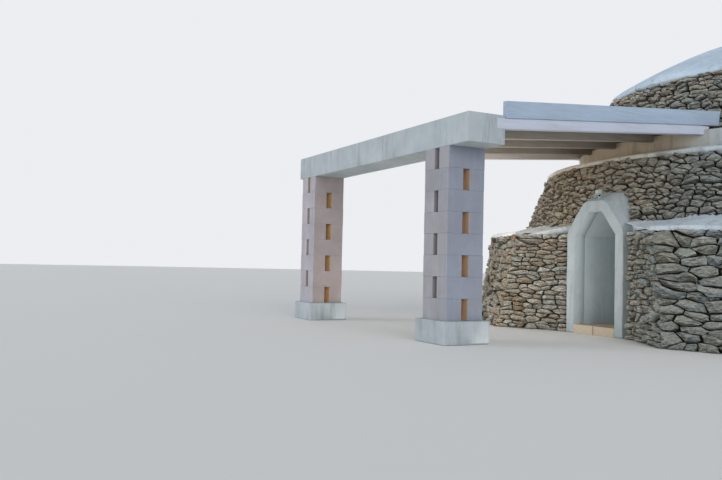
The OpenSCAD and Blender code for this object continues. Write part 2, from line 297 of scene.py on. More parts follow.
class Surface(Sketch):
    """Sketch of a material with a Principled shader, whose patterns read Object coordinates."""

    def __init__(self, name: str, shared: Effects) -> None:
        """Starts the material.

        Args:
            name: Its name.
            shared: The shared node groups.
        """
        self.material = bpy.data.materials.new(name)
        self.material.use_nodes = True
        super().__init__(self.material.node_tree)
        self.shared = shared
        self.shader = self.tree.nodes["Principled BSDF"]
        self.shader.inputs["Specular IOR Level"].default_value = 0.25
        self.place = self.add("TexCoord").outputs["Object"]

    def effect(self, group: Tree, **inputs: object) -> Outputs:
        """Adds a shared group, at the surface's own place unless it is given another, for its outputs."""
        return self.add("Group", {"node_tree": group}, **{"Vector": self.place, **inputs}).outputs

    def cover(self, under: object, over: object, mask: object, share: object) -> Socket:
        """Lays a colour over another by a mask times a share, and returns what shows."""
        return self.blend(self.product(mask, share), under, over)

    def finish(self, colour: object, roughness: object, height: Socket, strength: float,
               depth: float) -> None:
        """Gives the shader its colour, its roughness and a relief.

        Args:
            colour: Colour or socket.
            roughness: Value or socket.
            height: The relief's height.
            strength: Share of the relief's full effect.
            depth: Depth in metres of a height of 1.
        """
        relief = self.add("Bump", Strength=strength, Distance=depth, Height=height)
        self.feed(self.shader.inputs["Base Color"], colour)
        self.feed(self.shader.inputs["Roughness"], roughness)
        self.feed(self.shader.inputs["Normal"], relief.outputs["Normal"])


@dataclass(frozen=True)
class Limestone:
    """Field stones of the drystone walls: grey to honey limestone. Towards -Y they turn greyer and bluish,
    partly lichen and partly painted shade; the warmer honey towards +Y is painted light.
    """

    name: str = "limestone"
    grey: Colour = tone(118, 120, 116)
    pale: Colour = tone(234, 234, 222)
    honey: Colour = tone(172, 142, 108)
    dark: Colour = tone(60, 52, 44)
    lichen: Colour = tone(104, 118, 120)
    # Painted shade towards -Y: a bluish tint multiplied in, and slate on the cooler stones.
    painted_shade_tint: Colour = (0.80, 0.91, 1.0, 1.0)
    slate: Colour = tone(138, 149, 160)
    lime: Colour = tone(186, 194, 198)
    # Warm pale laid on the stones under the pergola's roof: painted light that lifts what the roof shades.
    crust: Colour = tone(192, 192, 180)
    under_roof_light: Colour = tone(208, 174, 136)
    roughness: float = 0.92
    bump: float = 0.045
    # Y range over which the stones pass from painted warm light to painted bluish shade.
    cool_from: float = 0.8
    cool_to: float = -1.8
    warm_share: float = 0.55
    cold_share: float = 0.70
    under_roof_light_share: float = 0.46
    crust_share: float = 0.70
    grain_share: float = 0.64
    # Shares of painted light on faces turned up and of painted shade on faces turned down.
    painted_top_light: float = 0.58
    painted_underside_shade: float = 0.60

    def lay(self, on: Surface) -> None:
        """Lays the grey, honey and dark of each stone by its own "shade" and "warmth", and the lime "splash".

        Args:
            on: The material's surface.
        """
        warmth = on.reads("warmth")
        bedded = on.stretched(on.place, (0.8, 0.8, 2.4))
        drift = on.effect(on.shared.weather, Vector=bedded, Patch_Scale=0.55, Grain_Scale=26.0)
        rough = on.effect(on.shared.pitting, Vector=bedded, Pit_Scale=42.0, Rough_Scale=13.0, Pit_Share=0.9,
                          Chip_Share=0.8)
        under_roof_light = on.effect(on.shared.shelter, Foot_Height=1.3)["Mask"]
        # Painted light and shade across the wall: honey kept towards +Y; slate, lichen and a bluish tint laid
        # on towards -Y.
        shaded_side = on.spread(on.part(on.place, "Y"), self.cool_from, self.cool_to)
        warm = on.product(warmth, on.spread(shaded_side, 0.0, 1.0, 1.0, self.warm_share))
        cold = on.product(on.spread(warmth, 0.50, 0.10, 0.0, self.cold_share), shaded_side)
        body = on.blend(on.reads("shade"), self.grey, self.pale)
        body = on.blend(warm, body, self.honey)
        body = on.blend(cold, body, self.slate)
        # Painted light: stones under the roof lifted towards a warm pale.
        body = on.cover(body, self.under_roof_light, under_roof_light, self.under_roof_light_share)
        body = on.blend(shaded_side, body, self.painted_shade_tint, "MULTIPLY")
        damp = on.spread(shaded_side, 0.0, 1.0, 0.15, 0.85)
        body = on.cover(body, self.lichen, drift["Patches"], damp)
        crust = on.spread(on.noise(bedded, 21.0, 6.0, 0.7), 0.50, 0.60, 0.0, self.crust_share)
        body = on.blend(crust, body, self.crust)
        grain = on.spread(drift["Grain"], 0.34, 0.72, 0.0, self.grain_share)
        body = on.blend(grain, body, self.dark)
        body = on.cover(body, self.dark, rough["Pits"], 0.8)
        # Painted light and shade: faces turned up lighter, faces turned down darker.
        upward = on.part(on.add("TexCoord").outputs["Normal"], "Z")
        body = on.blend(on.spread(upward, 0.0, 0.7, 0.0, self.painted_top_light), body, self.crust)
        body = on.blend(on.spread(upward, -0.05, -0.6, 0.0, self.painted_underside_shade), body, self.dark)
        ragged = on.maths("SUBTRACT", on.maths("ADD", on.reads("splash"), drift["Patches"]), 1.15)
        washed = on.product(on.spread(ragged, 0.0, 0.25, 0.0, 0.8), on.spread(under_roof_light, 0.0, 0.4, 1.0, 0.0))
        body = on.blend(washed, body, self.lime)
        on.finish(body, self.roughness, rough["Height"], 0.9, self.bump)


@dataclass(frozen=True)
class WallCore:
    """Earth and rubble that shows deep in the joints between the stones."""

    name: str = "wall_core"
    earth: Colour = tone(38, 34, 30)
    dust: Colour = tone(66, 59, 50)
    roughness: float = 0.97
    bump: float = 0.012

    def lay(self, on: Surface) -> None:
        """Lays the earth and its dust.

        Args:
            on: The material's surface.
        """
        drift = on.effect(on.shared.weather, Patch_Scale=3.0, Grain_Scale=40.0)
        body = on.blend(drift["Grain"], self.earth, self.dust)
        on.finish(body, self.roughness, drift["Grain"], 0.8, self.bump)


@dataclass(frozen=True)
class Limewash:
    """Hand-laid plaster under many coats of limewash, with trowel marks and weather stains."""

    name: str = "limewash"
    # The white is faintly blue, as painted sky shade.
    white: Colour = tone(184, 192, 197)
    stain: Colour = tone(156, 167, 174)
    dirt: Colour = tone(136, 132, 122)
    # Warmer beige laid on the plaster under the pergola's roof.
    warm_tone: Colour = tone(208, 190, 162)
    roughness: float = 0.82
    bump: float = 0.014
    stain_share: float = 0.75
    streak_share: float = 0.42
    # Whiter wash laid towards +Y: painted light on the lit far side.
    far_side_light: Colour = tone(244, 243, 238)
    far_side_light_share: float = 0.0

    def lay(self, on: Surface) -> None:
        """Lays the wash, its stains and runs, and a warmer beige under the pergola's roof.

        Args:
            on: The material's surface.
        """
        drift = on.effect(on.shared.weather, Patch_Scale=1.6, Grain_Scale=14.0)
        trowel = on.effect(on.shared.pitting, Pit_Scale=22.0, Rough_Scale=5.5, Pit_Share=0.35)
        runs = on.effect(on.shared.strokes, Vector=on.stretched(on.place, (9.0, 9.0, 1.1)), Mark_Scale=1.0,
                         Bend=0.6)
        body = on.cover(self.white, self.stain, drift["Patches"], self.stain_share)
        # Painted light: the wash whitens towards +Y.
        if self.far_side_light_share:
            far_side = on.spread(on.part(on.place, "Y"), 0.2, 1.5, 0.0, self.far_side_light_share)
            body = on.blend(far_side, body, self.far_side_light)
        # Warmer beige where the pergola's roof is over the plaster.
        warm_tone = on.effect(on.shared.shelter, Foot_Height=2.15)["Mask"]
        body = on.cover(body, self.warm_tone, warm_tone, 0.85)
        body = on.cover(body, self.dirt, on.spread(runs["Marks"], 0.55, 1.0), self.streak_share)
        body = on.cover(body, self.dirt, trowel["Pits"], 0.5)
        height = on.maths("ADD", trowel["Height"], on.product(drift["Grain"], 0.12))
        on.finish(body, self.roughness, height, 0.55, self.bump)


@dataclass(frozen=True)
class SawnBlock:
    """Limewashed soft limestone block: honey on the sides that face a slot, partly bare tufa and partly
    painted sunlight through the slots, and a darker colour on its -Y faces as painted shade.
    """

    name: str = "sawn_block"
    wash: Colour = tone(173, 171, 175)
    # Colour of the -Y faces: painted shade.
    side: Colour = tone(151, 158, 174)
    thin: Colour = tone(138, 143, 156)
    # Honey of the slots' sides: bare tufa, brightened as painted sunlight through the slots.
    warm_tone: Colour = tone(222, 190, 158)
    dirt: Colour = tone(112, 110, 110)
    roughness: float = 0.88
    bump: float = 0.004

    def lay(self, on: Surface) -> None:
        """Lays the wash by the faces' "bare_and_lit" and "painted_shade_face" and the blocks' "shade": painted
        sunlight in the slots, painted shade on the -Y faces.

        Args:
            on: The material's surface.
        """
        brush = on.effect(on.shared.strokes, Vector=on.stretched(on.place, Grain.ALONG_Z.value),
                          Mark_Scale=1.3, Bend=0.3)
        rough = on.effect(on.shared.pitting, Pit_Scale=70.0, Rough_Scale=16.0, Pit_Share=0.7)
        drift = on.effect(on.shared.weather, Patch_Scale=3.2, Grain_Scale=30.0)
        # Painted shade on the -Y faces.
        body = on.blend(on.reads("painted_shade_face"), self.wash, self.side)
        body = on.cover(body, self.thin, brush["Marks"], 0.42)
        body = on.cover(body, self.thin, on.reads("shade"), 0.35)
        body = on.cover(body, self.dirt, drift["Patches"], 0.24)
        # Bare tufa with painted sunlight on the slots' sides.
        body = on.blend(on.reads("bare_and_lit"), body, self.warm_tone)
        body = on.cover(body, self.dirt, rough["Pits"], 0.6)
        on.finish(body, self.roughness, rough["Height"], 0.6, self.bump)


@dataclass(frozen=True)
class PaintedTimber:
    """White painted softwood, with its grain showing through and the paint thin in places."""

    name: str
    grain: Grain
    # Blue-grey: white paint tinted as painted sky shade.
    paint: Colour = tone(168, 187, 209)
    worn: Colour = tone(142, 143, 148)
    roughness: float = 0.62
    worn_roughness: float = 0.85
    bump: float = 0.0025

    def lay(self, on: Surface) -> None:
        """Lays the paint, worn along the grain.

        Args:
            on: The material's surface.
        """
        fibres = on.effect(on.shared.strokes, Vector=on.stretched(on.place, self.grain.value), Mark_Scale=2.2,
                           Bend=0.5)
        drift = on.effect(on.shared.weather, Patch_Scale=1.8, Grain_Scale=22.0)
        thin = on.product(fibres["Marks"], on.spread(drift["Patches"], 0.0, 1.0, 0.12, 0.5))
        roughness = on.spread(thin, 0.0, 0.5, self.roughness, self.worn_roughness)
        on.finish(on.blend(thin, self.paint, self.worn), roughness, fibres["Height"], 0.5, self.bump)


@dataclass(frozen=True)
class FloorSlab:
    """Worn limestone paving with fine joints, for the room's floor and the sill."""

    name: str = "floor_slab"
    stone: Colour = tone(196, 184, 162)
    second: Colour = tone(176, 160, 136)
    joint: Colour = tone(120, 108, 92)
    roughness: float = 0.6
    bump: float = 0.004

    def lay(self, on: Surface) -> None:
        """Lays slabs and joints as seen from above.

        Args:
            on: The material's surface.
        """
        slabs = on.add("TexBrick", {"offset": 0.37}, Vector=on.place, Color1=self.stone, Color2=self.second,
                       Mortar=self.joint, Scale=1.0, Mortar_Size=0.008, Brick_Width=0.62, Row_Height=0.42)
        drift = on.effect(on.shared.weather, Patch_Scale=2.4, Grain_Scale=24.0)
        body = on.cover(slabs.outputs["Color"], self.joint, drift["Grain"], 0.25)
        height = on.maths("SUBTRACT", on.product(drift["Grain"], 0.3), slabs.outputs["Fac"])
        on.finish(body, self.roughness, height, 0.6, self.bump)


@dataclass(frozen=True)
class LampMetal:
    """Powder-coated metal of the wall lamp, rubbed and dusty."""

    name: str = "lamp_metal"
    coat: Colour = tone(176, 186, 184)
    dust: Colour = tone(134, 140, 136)
    roughness: float = 0.45
    dusty_roughness: float = 0.8
    metallic: float = 0.3
    bump: float = 0.0006

    def lay(self, on: Surface) -> None:
        """Lays the coat and its dust.

        Args:
            on: The material's surface.
        """
        drift = on.effect(on.shared.weather, Patch_Scale=18.0, Grain_Scale=160.0)
        dusty = on.product(drift["Patches"], 0.5)
        roughness = on.spread(dusty, 0.0, 0.5, self.roughness, self.dusty_roughness)
        on.finish(on.blend(dusty, self.coat, self.dust), roughness, drift["Grain"], 0.3, self.bump)
        on.shader.inputs["Metallic"].default_value = self.metallic


def new_mesh(name: str, points: Array, faces: list[Array], smooth: bool = True) -> Piece:
    """Puts whole arrays of points and faces into a mesh object at the origin.

    Args:
        name: Name of the object and its mesh.
        points: Array of n points by 3.
        faces: Arrays of m faces by their number of corners, which index the points.
        smooth: Whether the faces are shaded smooth.

    Returns:
        The linked object.
    """
    mesh = bpy.data.meshes.new(name)
    corners = np.concatenate([f.ravel() for f in faces]).astype(np.int32)
    counts = np.concatenate([np.full(len(f), f.shape[1]) for f in faces])
    mesh.vertices.add(len(points))
    mesh.vertices.foreach_set("co", np.ascontiguousarray(points, dtype=np.float32).ravel())
    mesh.loops.add(len(corners))
    mesh.loops.foreach_set("vertex_index", corners)
    mesh.polygons.add(len(counts))
    mesh.polygons.foreach_set("loop_start", np.concatenate([[0], np.cumsum(counts)[:-1]]).astype(np.int32))
    mesh.polygons.foreach_set("use_smooth", np.full(len(counts), smooth))
    mesh.update(calc_edges=True)
    piece = bpy.data.objects.new(name, mesh)
    bpy.context.scene.collection.objects.link(piece)
    return piece


def points_of(mesh: bpy.types.Mesh) -> Array:
    """Reads a mesh's points.

    Args:
        mesh: The mesh.

    Returns:
        Array of n points by 3.
    """
    points = np.empty(len(mesh.vertices) * 3)
    mesh.vertices.foreach_get("co", points)
    return points.reshape(-1, 3)


def move_points(mesh: bpy.types.Mesh, points: Array) -> None:
    """Puts a mesh's points in new places."""
    mesh.vertices.foreach_set("co", points.ravel())
    mesh.update()


def add_values(piece: Piece, name: str, values: Array, domain: str = "POINT") -> None:
    """Stores one number for each point or face, for the material to read."""
    layer = piece.data.attributes.new(name, "FLOAT", domain)
    layer.data.foreach_set("value", np.ascontiguousarray(values, dtype=np.float32))


def grid_faces(rows: int, columns: int, close_rows: bool, close_columns: bool) -> Array:
    """Corner numbers of the quads of a grid whose points are numbered row by row.

    Args:
        rows: Number of rows of points.
        columns: Number of points in a row.
        close_rows: Whether the last row joins the first.
        close_columns: Whether the last column joins the first.

    Returns:
        Array of quads, running from a row to the next with the columns counted onwards.
    """
    i, j = np.meshgrid(np.arange(rows if close_rows else rows - 1),
                       np.arange(columns if close_columns else columns - 1), indexing="ij")
    i, j = i.ravel(), j.ravel()
    below, beside = (i + 1) % rows, (j + 1) % columns
    return np.stack([i * columns + j, i * columns + beside,
                     below * columns + beside, below * columns + j], axis=1)


def fan_faces(first: int, columns: int, pole: int, backwards: bool = False) -> Array:
    """Corner numbers of the triangles between a closed row of points and a pole.

    Args:
        first: Number of the row's first point.
        columns: Number of points in the row.
        pole: Number of the pole's point.
        backwards: Whether the triangles run against the row's count.

    Returns:
        Array of triangles.
    """
    step, after = first + np.arange(columns), first + (np.arange(columns) + 1) % columns
    sides = [after, step] if backwards else [step, after]
    return np.stack([*sides, np.full(columns, pole)], axis=1)


def eased(points: Array, times: int) -> Array:
    """Averages each inner point of a line with its neighbours, its own place counting twice.

    Args:
        points: The line's points.
        times: How often.

    Returns:
        The softened line, with the same ends.
    """
    points = points.copy()
    for _ in range(times):
        points[1:-1] = (points[:-2] + 2 * points[1:-1] + points[2:]) / 4
    return points


def evened(points: Array, count: int) -> Array:
    """Lays points at even distances along a line, by its running length.

    Args:
        points: The line's corners, n by 2.
        count: Number of points to lay.

    Returns:
        The points, count by 2.
    """
    along = np.concatenate([[0.0], np.cumsum(np.hypot(*np.diff(points, axis=0).T))])
    even = np.linspace(0.0, along[-1], count)
    return np.stack([np.interp(even, along, points[:, 0]), np.interp(even, along, points[:, 1])], axis=1)


def round_corner() -> Array:
    """Angles of the six stations round a quarter circle."""
    return np.radians(np.linspace(0, 90, 6))


def dress(piece: Piece, slot: Slot, materials: list[Material], *nodes: str) -> None:
    """Gives a finished piece its materials and its body, and hides the nodes that it stands for.

    Args:
        piece: The finished piece.
        slot: The record's slot that the finish comes from; not used.
        materials: The materials, in the order of the faces' indices.
        *nodes: CAD nodes that the piece replaces.
    """
    for material in materials:
        piece.data.materials.append(material)
    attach(piece, BODY)
    if nodes:
        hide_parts(*nodes)
    log.info("%s: %d faces", piece.name, len(piece.data.polygons))


def refinish(node: str, material: Material) -> None:
    """Gives a CAD node that stays in view its material.

    Args:
        node: The CAD node.
        material: Its finish.
    """
    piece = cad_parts[node]
    piece.data.materials.clear()
    piece.data.materials.append(material)
    log.info("%s: refinished", node)


def node_points(node: str) -> Array:
    """All points of a CAD node, as an array of n by 3."""
    return points_of(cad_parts[node].data)


def points_at(node: str, height: float) -> Array:
    """A CAD node's points at one height."""
    points = node_points(node)
    return points[np.abs(points[:, 2] - height) < ON_LEVEL]


def profile_of(node: str) -> Array:
    """A turned node's distinct pairs of radius and height, to a millimetre and in order of radius."""
    points = node_points(node)
    return np.unique(np.round(np.stack([np.hypot(*points[:, :2].T), points[:, 2]], axis=1), 3), axis=0)


def radius_at(node: str, height: float) -> float:
    """Finds how far a node reaches from the house axis at a height at which it has points."""
    level = points_at(node, height)
    return float(np.hypot(*level[:, :2].T).max())


def joined_copy(name: str, nodes: list[str], flatten: bool = True) -> Piece:
    """Copies CAD nodes into one new piece, with their loose triangles merged.

    Args:
        name: Name of the new piece.
        nodes: The nodes to copy.
        flatten: Whether the triangles of a flat face become one face.

    Returns:
        The linked object.
    """
    shell = bmesh.new()
    for node in nodes:
        part = bmesh.new()
        part.from_mesh(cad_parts[node].data)
        bmesh.ops.remove_doubles(part, verts=part.verts, dist=1e-5)
        if flatten:
            bmesh.ops.dissolve_limit(part, angle_limit=math.radians(0.2), verts=part.verts, edges=part.edges)
        held = bpy.data.meshes.new("held")
        part.to_mesh(held)
        part.free()
        shell.from_mesh(held)
        bpy.data.meshes.remove(held)
    mesh = bpy.data.meshes.new(name)
    shell.to_mesh(mesh)
    shell.free()
    mesh.materials.clear()
    piece = bpy.data.objects.new(name, mesh)
    bpy.context.scene.collection.objects.link(piece)
    return piece


def soften(piece: Piece, width: float, steps: int = 2) -> None:
    """Rounds a piece's sharp edges with a live Bevel modifier.

    Args:
        piece: The piece.
        width: Width of the rounding.
        steps: Facets of the rounding.
    """
    bevel = piece.modifiers.new("edges", "BEVEL")
    bevel.width = width
    bevel.segments = steps
    bevel.limit_method = "ANGLE"
    bevel.angle_limit = math.radians(32)
    bevel.harden_normals = True
    piece.data.shade_smooth()


def ripple(angle: Array, height: Array, seed: int, coarse: int = 5, count: int = 9) -> Array:
    """Smooth unevenness from -1 to 1 that closes on itself round the axis.

    It is the mean of sine waves of the angle, each with a whole number of turns, a slope with height and a
    phase.

    Args:
        angle: Angles round the axis.
        height: Heights, or whatever else the waves are to lean with.
        seed: Seed of the waves.
        coarse: Fewest waves in a turn; the most are nine times as many.
        count: Number of sine waves.

    Returns:
        The unevenness at each place.
    """
    dice = np.random.default_rng(seed)
    turns = dice.integers(coarse, coarse * 9, count)
    slopes = dice.uniform(-6.0, 6.0, count)
    phases = dice.uniform(0.0, TURN, count)
    waves = np.sin(angle[..., None] * turns + height[..., None] * slopes + phases)
    return waves.mean(axis=-1) * 1.8


@dataclass(frozen=True)
class Line:
    """Straight limit on the unrolled wall: the side where across * u + up * v is under reach is kept."""

    across: float
    up: float
    reach: float

    @classmethod
    def through(cls, start: Pair, end: Pair, inside: Pair) -> "Line":
        """Makes the line through two points that keeps the side of a third.

        Args:
            start: First point.
            end: Second point.
            inside: The point on the side that is kept.

        Returns:
            The line.
        """
        across, up = end[1] - start[1], start[0] - end[0]
        size = math.hypot(across, up)
        across, up = across / size, up / size
        reach = across * start[0] + up * start[1]
        if across * inside[0] + up * inside[1] > reach:
            across, up, reach = -across, -up, -reach
        return cls(across, up, reach)


def between(foot: float, top: float) -> list[Line]:
    """The two limits that keep what lies between two heights."""
    return [Line(0.0, -1.0, -foot), Line(0.0, 1.0, top)]


@dataclass(frozen=True)
class StoneSizes:
    """Usual size of a wall's stones, and how they are laid."""

    width: float
    height: float
    joint: float = 0.005
    depth: float = 0.085
    relief: float = 0.016
    corners: int = 12


@dataclass(frozen=True)
class Arch:
    """Outline of the portal on the unrolled wall, inside which no stone is laid."""

    half_width: float
    shoulder: float
    head: float
    half_head: float

    def distances(self, u: Array, v: Array) -> tuple[Array, Array]:
        """Distance of points outside each of the outline's five lines.

        Args:
            u: Places across.
            v: Places up.

        Returns:
            The distances, points by lines, and the lines' outward directions, lines by 2.
        """
        run, rise = self.half_width - self.half_head, self.head - self.shoulder
        size = math.hypot(run, rise)
        outward = np.array([[1, 0], [-1, 0], [0, 1], [rise / size, run / size], [-rise / size, run / size]])
        through = np.array([[self.half_width, 0], [-self.half_width, 0], [0, self.head],
                            [self.half_width, self.shoulder], [-self.half_width, self.shoulder]])
        place = np.stack([u, v], axis=1)
        return ((place[:, None, :] - through[None]) * outward[None]).sum(axis=2), outward


@dataclass(frozen=True)
class PortalShape:
    """The portal as the frame has it: its opening, its face, and how its sides spread back to the wall."""

    opening: Arch
    front: float
    rounding: float
    rim: float
    spread: float

    @classmethod
    def read(cls) -> "PortalShape":
        """Reads the portal's sizes from its node's points.

        Returns:
            The shape, from the flat face's outline and from the plan at the ground.
        """
        points = node_points("portal")
        points[:, 1] = np.abs(points[:, 1])
        front = float(points[:, 0].min())
        face = points[points[:, 0] < front + ON_EDGE]
        foot = face[:, 1][face[:, 2] < ON_EDGE]
        half, heights = float(foot.min()), np.unique(np.round(face[:, 2], 4))
        shoulder = float(face[np.abs(face[:, 1] - half) < ON_EDGE][:, 2].max())
        head = float(heights[-2])
        half_head = float(face[np.abs(face[:, 2] - head) < ON_EDGE][:, 1].min())
        edges = points[points[:, 2] < ON_EDGE]
        near = edges[(edges[:, 0] < front + 0.06) & (edges[:, 1] > half + 0.01)]
        start, end = near[near[:, 1].argmax()], edges[edges[:, 1].argmax()]
        spread = float((end[1] - start[1]) / (end[0] - start[0]))
        arch = Arch(half, shoulder, head, half_head)
        return cls(arch, front, float(start[0]) - front, float(start[1]) - half, spread)

    def growth(self, along: float) -> float:
        """How far the outside lies beyond the opening at a place behind the rounded edge."""
        return self.rim + self.spread * (along - self.front - self.rounding)

    def outline(self, grown: float) -> Arch:
        """Moves the opening's outline outwards on every side.

        Args:
            grown: How far.

        Returns:
            The wider outline, with its corners on the same bisectors.
        """
        plain = self.opening
        lean = math.atan2(plain.half_width - plain.half_head, plain.head - plain.shoulder)
        return Arch(plain.half_width + grown, plain.shoulder + grown * math.tan(lean / 2), plain.head + grown,
                    plain.half_head + grown * math.tan(math.pi / 4 - lean / 2))


@dataclass(frozen=True)
class Masonry:
    """Habits of whoever laid the walls. Shares are of a course's or a stone's usual size.

    A ring of a stone is given by its size as a share of the outline, how far it lies under the face, and how
    far its points stray, both in reliefs. A wave is given by its length, the lean of its phase with height,
    and how far it lifts a course.
    """

    course_spread: Pair = (0.65, 1.35)
    width_spread: Pair = (0.45, 1.7)
    half_spread: Pair = (0.8, 1.2)
    off_course: float = 0.30
    left_out: float = 0.07
    edge_room: float = 0.30
    pull: float = 0.55
    longest: float = 1.9
    chips: Pair = (0.85, 1.05)
    face_spread: Pair = (-0.005, 0.015)
    face_limits: Pair = (-0.036, 0.022)
    lean: float = 0.19
    strikes: int = 3
    strike_depths: Pair = (0.1, 1.5)
    neighbours: int = 16
    splash: float = 0.13
    usual_half_rise: float = 0.28
    fullness_limits: Pair = (0.6, 1.4)
    struck_from: float = 0.10
    struck_slope: float = 0.6
    back_ring: float = 0.86
    rings: tuple[Triple, ...] = ((1.00, 0.9, 0.35), (0.90, 0.20, 0.25), (0.50, -0.10, 0.40))
    crown: Pair = (-0.1, 0.3)
    long_wave: Triple = (1.15, 2.1, 0.20)
    short_wave: Triple = (0.47, -5.0, 0.14)


@dataclass
class StoneLay:
    """Rubble laid in rough courses on an unrolled wall, each stone a closed lump of a few dozen faces."""

    name: str
    length: float
    height: float
    sizes: StoneSizes
    seed: int
    wraps: bool = False
    limits: list[Line] = field(default_factory=list)
    arch: Arch | None = None
    arch_centres: tuple[float, ...] = (0.0,)
    # Raises every stone's shade: painted light on a stretch of wall that the light reaches more.
    painted_light_lift: float = 0.0
    habits: Masonry = Masonry()

    def seeds(self, dice: np.random.Generator) -> tuple[Array, Array, Array]:
        """Lays the stones' middles course by course.

        Course heights and stone widths vary at random and are then scaled to fill the wall exactly.

        Args:
            dice: Source of chance.

        Returns:
            Places across, places up and half widths.
        """
        habits = self.habits
        courses = max(1, round(self.height / self.sizes.height))
        rises = dice.uniform(*habits.course_spread, courses)
        rises *= self.height / rises.sum()
        foots = np.concatenate([[0.0], np.cumsum(rises)[:-1]])
        across, up, half = [], [], []
        for foot, rise in zip(foots, rises):
            usual = self.sizes.width * (0.55 + 0.45 * rise / self.sizes.height)
            widths = dice.uniform(*habits.width_spread, max(1, round(self.length / usual)))
            widths *= self.length / widths.sum()
            middles = np.cumsum(widths) - widths / 2
            shift = dice.uniform(0.0, self.length) if self.wraps else 0.0
            across.append((middles + shift) % self.length if self.wraps else middles)
            wander = dice.uniform(-habits.off_course, habits.off_course, len(widths))
            up.append(foot + rise / 2 + wander * rise)
            half.append(widths / 2)
        across, up, half = np.concatenate(across), np.concatenate(up), np.concatenate(half)
        laid = dice.random(len(across)) > habits.left_out
        return across[laid], up[laid], half[laid] * dice.uniform(*habits.half_spread, laid.sum())

    def fits(self, u: Array, v: Array) -> Array:
        """Tells which middles lie far enough inside the limits, and outside the arch, to carry a stone.

        Args:
            u: Places across.
            v: Places up.

        Returns:
            True for each middle that is kept.
        """
        room = self.habits.edge_room * self.sizes.height
        kept = np.ones(len(u), bool)
        for line in self.limits:
            kept &= line.reach - line.across * u - line.up * v > room
        for centre in self.arch_centres if self.arch else ():
            kept &= self.arch.distances(u - centre, v)[0].max(axis=1) > room
        return kept

    def borders(self, u: Array, v: Array, half: Array, squeeze: float) -> tuple[Array, Array]:
        """Finds the straight borders round every stone, on the wall squeezed across.

        They are the half-way lines towards the nearest neighbours, shifted by the stones' sizes, the wall's
        limits, and the nearest line of the arch.

        Args:
            u: Places across.
            v: Places up.
            half: Half widths.
            squeeze: How many times narrower the wall is made.

        Returns:
            Each border's distance from the stone's middle and its bearing, stones by borders.
        """
        stones = np.arange(len(u))
        middles = np.stack([u / squeeze, v], axis=1)
        weight = self.habits.pull * (half / squeeze) ** 2
        copies = [0.0, self.length / squeeze, -self.length / squeeze] if self.wraps else [0.0]
        others = np.concatenate([middles + [move, 0.0] for move in copies])
        gaps = ((middles[:, None, :] - others[None]) ** 2).sum(axis=2)
        gaps[stones, stones] = np.inf
        near = np.argpartition(gaps, self.habits.neighbours, axis=1)[:, :self.habits.neighbours]
        towards = others[near] - middles[:, None, :]
        apart = np.maximum(np.linalg.norm(towards, axis=2), 1e-4)
        reach = [apart / 2 + (weight[:, None] - np.tile(weight, len(copies))[near]) / (2 * apart)]
        bearing = [np.arctan2(towards[..., 1], towards[..., 0])]
        for line in self.limits:
            room = (line.reach - line.across * u - line.up * v) / math.hypot(line.across * squeeze, line.up)
            reach.append(room[:, None])
            bearing.append(np.full((len(u), 1), math.atan2(line.up, line.across * squeeze)))
        for centre in self.arch_centres if self.arch else ():
            room, outward = self.arch.distances(u - centre, v)
            side = room.argmax(axis=1)
            away = -outward[side] * [squeeze, 1.0]
            reach.append((room[stones, side] / np.linalg.norm(away, axis=1))[:, None])
            bearing.append(np.arctan2(away[:, 1], away[:, 0])[:, None])
        return np.maximum(np.concatenate(reach, axis=1), 1e-3), np.concatenate(bearing, axis=1)

    def outlines(self, u: Array, v: Array, half: Array, dice: np.random.Generator) -> tuple[Array, Array]:
        """Outline of every stone as a function of the direction from its middle.

        The wall is squeezed across so that a usual stone is as wide as it is high. There the outline in one
        direction is the least of the distances to the borders. It keeps the directions in which the nearest
        border changes, which are its corners, and some of the even ones. Unsqueezed, it then draws back by
        the joint.

        Args:
            u: Places across.
            v: Places up.
            half: Half widths.
            dice: Source of chance.

        Returns:
            Offsets across and up, stones by corners.
        """
        squeeze = self.sizes.width / self.sizes.height
        reach, bearing = self.borders(u, v, half, squeeze)
        corners = self.sizes.corners
        tries = 5 * corners
        turns = TURN * np.arange(tries) / tries
        facing = np.cos(turns[None, None] - bearing[..., None])
        span = np.where(facing > 0.05, reach[..., None] / np.maximum(facing, 0.05), 1e3)
        border = span.argmin(axis=1)
        rank = 2.0 * (border != np.roll(border, 1, axis=1)) + (np.arange(tries) % 5 == 0)
        rank = rank + dice.uniform(0.0, 0.5, rank.shape)
        chosen = np.sort(np.argsort(-rank, axis=1)[:, :corners], axis=1)
        angles, radii = turns[chosen], np.take_along_axis(span.min(axis=1), chosen, axis=1)
        radii = np.minimum(radii, self.habits.longest * radii.mean(axis=1, keepdims=True))
        across, up = radii * np.cos(angles) * squeeze, radii * np.sin(angles)
        size = np.hypot(across, up)
        chips = dice.uniform(*self.habits.chips, size.shape)
        shrink = np.maximum(size - self.sizes.joint, 0.3 * size) / size * chips
        return across * shrink, up * shrink

    def sway(self, u: Array, v: Array) -> tuple[Array, Array]:
        """Bends the straight courses into ones laid by eye.

        Each place moves by a few sine waves of itself, which close round the wall and fade out at its foot
        and top.

        Args:
            u: Places across.
            v: Places up.

        Returns:
            The moved places.
        """
        turn = TURN / self.length
        fade = np.sin(np.pi * np.clip(v / self.height, 0.0, 1.0)) ** 0.5
        span, lean, lift = self.habits.long_wave
        short_span, short_lean, short_lift = self.habits.short_wave
        long, short = max(1, round(self.length / span)), max(1, round(self.length / short_span))
        rise = lift * np.sin(long * turn * u + lean * v + self.seed)
        rise = rise + short_lift * np.sin(short * turn * u + short_lean * v)
        slip = 0.22 * np.sin(long * turn * u + 9.0 * v + self.seed) + 0.12 * np.sin(21.0 * v)
        return u + fade * slip * self.sizes.width * 0.5, v + fade * rise * self.sizes.height

